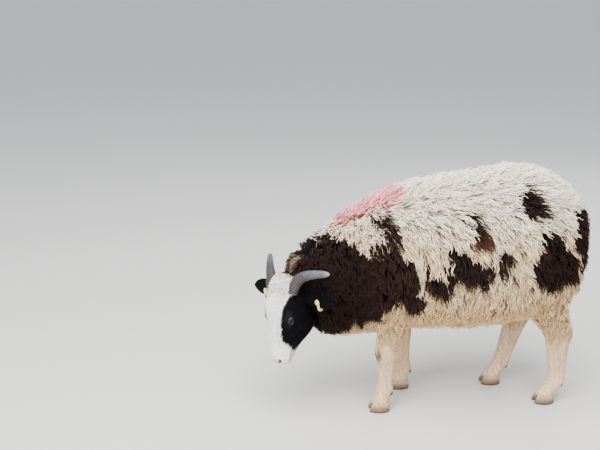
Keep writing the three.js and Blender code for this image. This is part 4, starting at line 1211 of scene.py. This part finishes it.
def wool(
    name, sheet_name, locks, long, curl, wave, width, way, keep, seed,
    stray=3.0, own_colour=None, hang=0.0,
):
    """Locks of wool over a sheet. Each lock's strands share its waves and draw together at its tip."""
    sheet = sheets[sheet_name]
    draw = np.random.default_rng(seed)
    u, v = scattered(sheet, locks, draw, keep)
    length = long * draw.uniform(0.78, 1.22, locks)
    turn = draw.normal(0, 0.22, locks)

    def own_way(p):
        wish = way(p)
        return wish + np.stack([turn, 0.6 * turn * np.sign(-p[..., 1]), 0 * turn], -1)

    steps = [length * s for s in np.diff(STRAND_SHARES)] + [0 * length]
    track, ahead, outs = walked(sheet, u, v, own_way, steps)
    height = sampled(sheet["tips"], u, v)[:, 2]
    high = 0.12 * smooth(560, 650, height) + hang * smooth(330, 250, height)
    rise = (1 - (1 - STRAND_SHARES) ** 1.5)[None] * (draw.uniform(0.74, 1.06, locks) + high)[:, None]
    guide = between_skin_and_tips(sheet, track, rise)
    across = unit(np.cross(ahead, outs))
    # The strands of each lock
    guide, across, outs, ahead = (np.repeat(g, STRANDS, 0) for g in (guide, across, outs, ahead))
    total = locks * STRANDS
    spread = 2.15 * width * np.sqrt(STRANDS)
    spot = draw.normal(0, 0.5, (total, 2)) * spread
    gather = (1 - 0.38 * STRAND_SHARES[None] ** 1.3)[..., None]
    loose = draw.normal(0, stray, (total, 2, 1)) * STRAND_SHARES[None, None] ** 2
    run = per_strand(length) * STRAND_SHARES[None]
    phase = per_strand(draw.uniform(0, 2 * pi, locks)) + draw.normal(0, 0.35, (total, 1))
    pitch = per_strand(wave * draw.uniform(0.8, 1.25, locks))
    swing = curl * smooth(0.1, 0.6, STRAND_SHARES)[None] * per_strand(draw.uniform(0.6, 1.3, locks))
    turns = 2 * pi * run / pitch + phase
    sideways = spot[:, :1, None] * gather + (swing * np.sin(turns) + loose[:, 0])[..., None]
    upwards = (0.7 * swing * np.cos(turns) + 0.5 * loose[:, 1])[..., None]
    upwards = upwards + 1.2 * draw.normal(0, 1, (total, 1, 1)) * gather
    along = spot[:, 1:, None] * (1 - 0.5 * STRAND_SHARES[None, :, None])
    paths = guide + across * sideways + outs * upwards + ahead * along
    radii = width / 2 * STRAND_SHAPE[None] * draw.uniform(0.75, 1.25, (total, 1))
    seen = paths[:, SEEN]
    colour, brown = (own_colour or fleece_colour)(seen, ragged=4.0, seed=seed)
    own = draw.normal(1, 0.07, (total, 1)) * per_strand(draw.normal(1, 0.06, locks))
    colour = colour * own
    warm = per_strand(draw.random(locks)) * 0.22
    colour = colour * (1 - warm * np.array([[0.35, 0.6, 1.0]]))
    tipped = blended(colour, BROWN_TIP, 0.5 * brown)
    # Painted shade: each strand is darker towards the skin, for the shade between the locks, and more so
    # low on the flanks and belly
    low = smooth(430, 290, seen[:, 2])[:, None, None]
    depth = (0.74 + 0.26 * smooth(0.1, 0.6, STRAND_SHARES))[None, :, None]
    depth = depth * (1 - 0.3 * low * (1 - smooth(0.4, 0.9, STRAND_SHARES))[None, :, None])
    tip = STRAND_SHARES[None, :, None] ** 3
    colours = colour[:, None] * depth * (1 - tip) + tipped[:, None] * depth * tip
    roots = np.concatenate([per_strand(u), per_strand(np.mod(v, 1))], 1)
    roots = 0.01 + 0.98 * np.clip(roots + spot[:, ::-1] * 0.0008, 0, 1)
    return strand_piece(name, paths, outs, radii, 0.8, colours, roots, wool_surface)


def anywhere(p):
    return np.ones(p.shape[:-1])


lie = backwards_and_down(0.12, 1.2, 70)
TRUNK_PIECES = (  # name, from x, to x, locks on each side, length, curl, wave
    ("wool_shoulders", -345, -130, 900, 50, 2.4, 19),
    ("wool_barrel", -130, 112, 1180, 54, 2.3, 20),
    ("wool_hindquarters", 112, 400, 900, 48, 2.6, 17),
)
for k, (name, start, end, locks, long, curl, wave) in enumerate(TRUNK_PIECES):
    for word, side in (("left", -1), ("right", 1)):
        def here(p, start=start, end=end, side=side):
            return (p[..., 0] > start) & (p[..., 0] <= end) & (p[..., 1] * side >= 0)

        wool(
            f"{name}_{word}", "trunk", locks, long, curl, wave, width=2.7, way=lie, keep=here,
            seed=101 + 2 * k + (side > 0), stray=3.6,
        )
neck_lie = backwards_and_down(0.5, 1.0, 90)
for word, side in (("left", -1), ("right", 1)):
    def on_neck(p, side=side):
        return (p[..., 0] < -300) & (side * (p[..., 1] + 0.12 * (p[..., 0] + 400)) >= 0)

    wool(
        "wool_neck_" + word, "neck", locks=920, long=34, curl=3.0, wave=14, width=2.8, way=neck_lie,
        keep=on_neck, seed=120 + side, stray=4.0, hang=0.4,
    )
hanging = backwards_and_down(0.0, 0.1, 80)
wool(
    "wool_tail", "tail", locks=150, long=40, curl=2.4, wave=16, width=2.8, way=hanging,
    keep=anywhere, seed=122,
)

for k, leg in enumerate(LEGS):
    wool(
        "wool_leg_" + leg, leg, locks=250, long=27, curl=2.4, wave=13, width=2.5, way=hanging,
        keep=lambda p: (p[..., 2] > 200) & (p[..., 2] < 350), seed=123 + k, stray=2.5,
    )


def poll_colour(p, ragged=0.0, seed=5):
    share = smooth(-16, -34, to_face(p)[..., 0]) * 0.5
    return blended(plain(FACE_WHITE, p.shape), BEIGE, share), np.zeros(p.shape[:-1])


def on_poll(p):
    q = to_face(p)
    f, l, u = q[..., 0], q[..., 1], q[..., 2]
    return (f > -38) * (u > -44) * (np.abs(l) < 42) * smooth(34, -22, f) ** 2


def down_the_face(p):
    q = to_face(p)
    return FACE[0] * 1.0 + FACE[1] * (q[..., 1:2] / 50) + FACE[2] * 0.4 + 0 * p


sheets["poll"] = on_the_head(head_surface[:60], 4.5)
wool(
    "wool_poll", "poll", locks=230, long=14, curl=0.8, wave=12, width=1.7, way=down_the_face,
    keep=on_poll, seed=131, own_colour=poll_colour,
)

# Short hair: fine tufts that lie flat from the nose up the face, down the shins and out along the
# ears, smallest about the muzzle and the feet. They break the line of the bumped hide under them.
TUFT_SHARES = np.array([0, 0.5, 1.0])
TUFT_RISE = np.array([-0.3, 0.75, 1.0])
TUFT_SHAPE = np.array([0.8, 1.0, 0.1])
TUFT_SHADE = np.array([0.8, 0.96, 1.05])
hair_surface, _ = coloured_surface("short_hair", 0.75, 0.0, 0.08, 300)


def short_hair(name, sheet_name, count, long, width, way, keep, colours, seed, lift=1.0):
    """Single flat tufts over a sheet, in the colour of the hide under them."""
    sheet = sheets[sheet_name]
    draw = np.random.default_rng(seed)
    u, v = scattered(sheet, count, draw, keep)
    start = sampled(sheet["skin"], u, v)
    length = long(start) * draw.uniform(0.75, 1.25, count)
    turn = draw.normal(0, 0.16, (count, 3))
    steps = [length * s for s in np.diff(TUFT_SHARES)] + [0 * length]
    track, _, outs = walked(sheet, u, v, lambda p: way(p) + turn, steps)
    rise = TUFT_RISE[None] * (lift * draw.uniform(0.7, 1.3, count))[:, None]
    paths = between_skin_and_tips(sheet, track, rise)
    radii = width / 2 * TUFT_SHAPE[None] * draw.uniform(0.8, 1.2, (count, 1))
    shade = colours(start) * draw.normal(1, 0.06, (count, 1))
    each = shade[:, None] * TUFT_SHADE[None, :, None]
    roots = 0.01 + 0.98 * np.stack([u, np.mod(v, 1)], 1)
    return strand_piece(name, paths, outs, radii, 0.45, each, roots, hair_surface)


def up_the_face(p):
    q = to_face(p)
    return -FACE[0] + FACE[2] * (-0.3 * smooth(10, 40, np.abs(q[..., 1:2]))) + 0 * p


def on_face(p):
    """Where the face is haired: not in the eyes, the nostrils or the mouth, and not behind the poll."""
    q = to_face(p)
    clear = (q[..., 0] > -14) & (q[..., 0] < 209)
    for side in (-1, 1):
        middle, _, long, high = eye_lines(side)
        a, b = (q - middle) @ long, (q - middle) @ high
        clear &= ~(((a / 15.5) ** 2 + (b / 9.5) ** 2 < 1) & (q[..., 1] * side > 20))
        clear &= nostril_reach(q, side) > 1.35
    gap = np.abs(above_mouth(q[..., 0], q[..., 2]))
    return clear & ((gap > 4) | (q[..., 0] < MOUTH["back"]))


def face_length(p):
    return 4.5 + 6.5 * smooth(200, 60, to_face(p)[..., 0])


short_hair(
    "hair_face", "head", count=9000, long=face_length, width=1.5, way=up_the_face, keep=on_face,
    colours=lambda p: face_colour(to_face(p)), seed=141, lift=0.8,
)
for name, side in (("ear_left", 1), ("ear_right", -1)):
    short_hair(
        "hair_" + name, name, count=1700, long=lambda p: 9 + 0 * p[..., 0], width=1.5,
        way=lambda p, along=ear_lines(side)[1] @ FACE: along + 0 * p, keep=anywhere,
        colours=lambda p: plain(FACE_BLACK, p.shape), seed=142 + side,
    )
for k, leg in enumerate(LEGS):
    short_hair(
        "hair_leg_" + leg, leg, count=1900, long=lambda p: 7 + 7 * smooth(30, 180, p[..., 2]), width=1.7,
        way=lambda p: np.array([0.0, 0, -1]) + 0 * p, keep=lambda p: p[..., 2] < 232,
        colours=hide_colour, seed=151 + k, lift=1.3,
    )
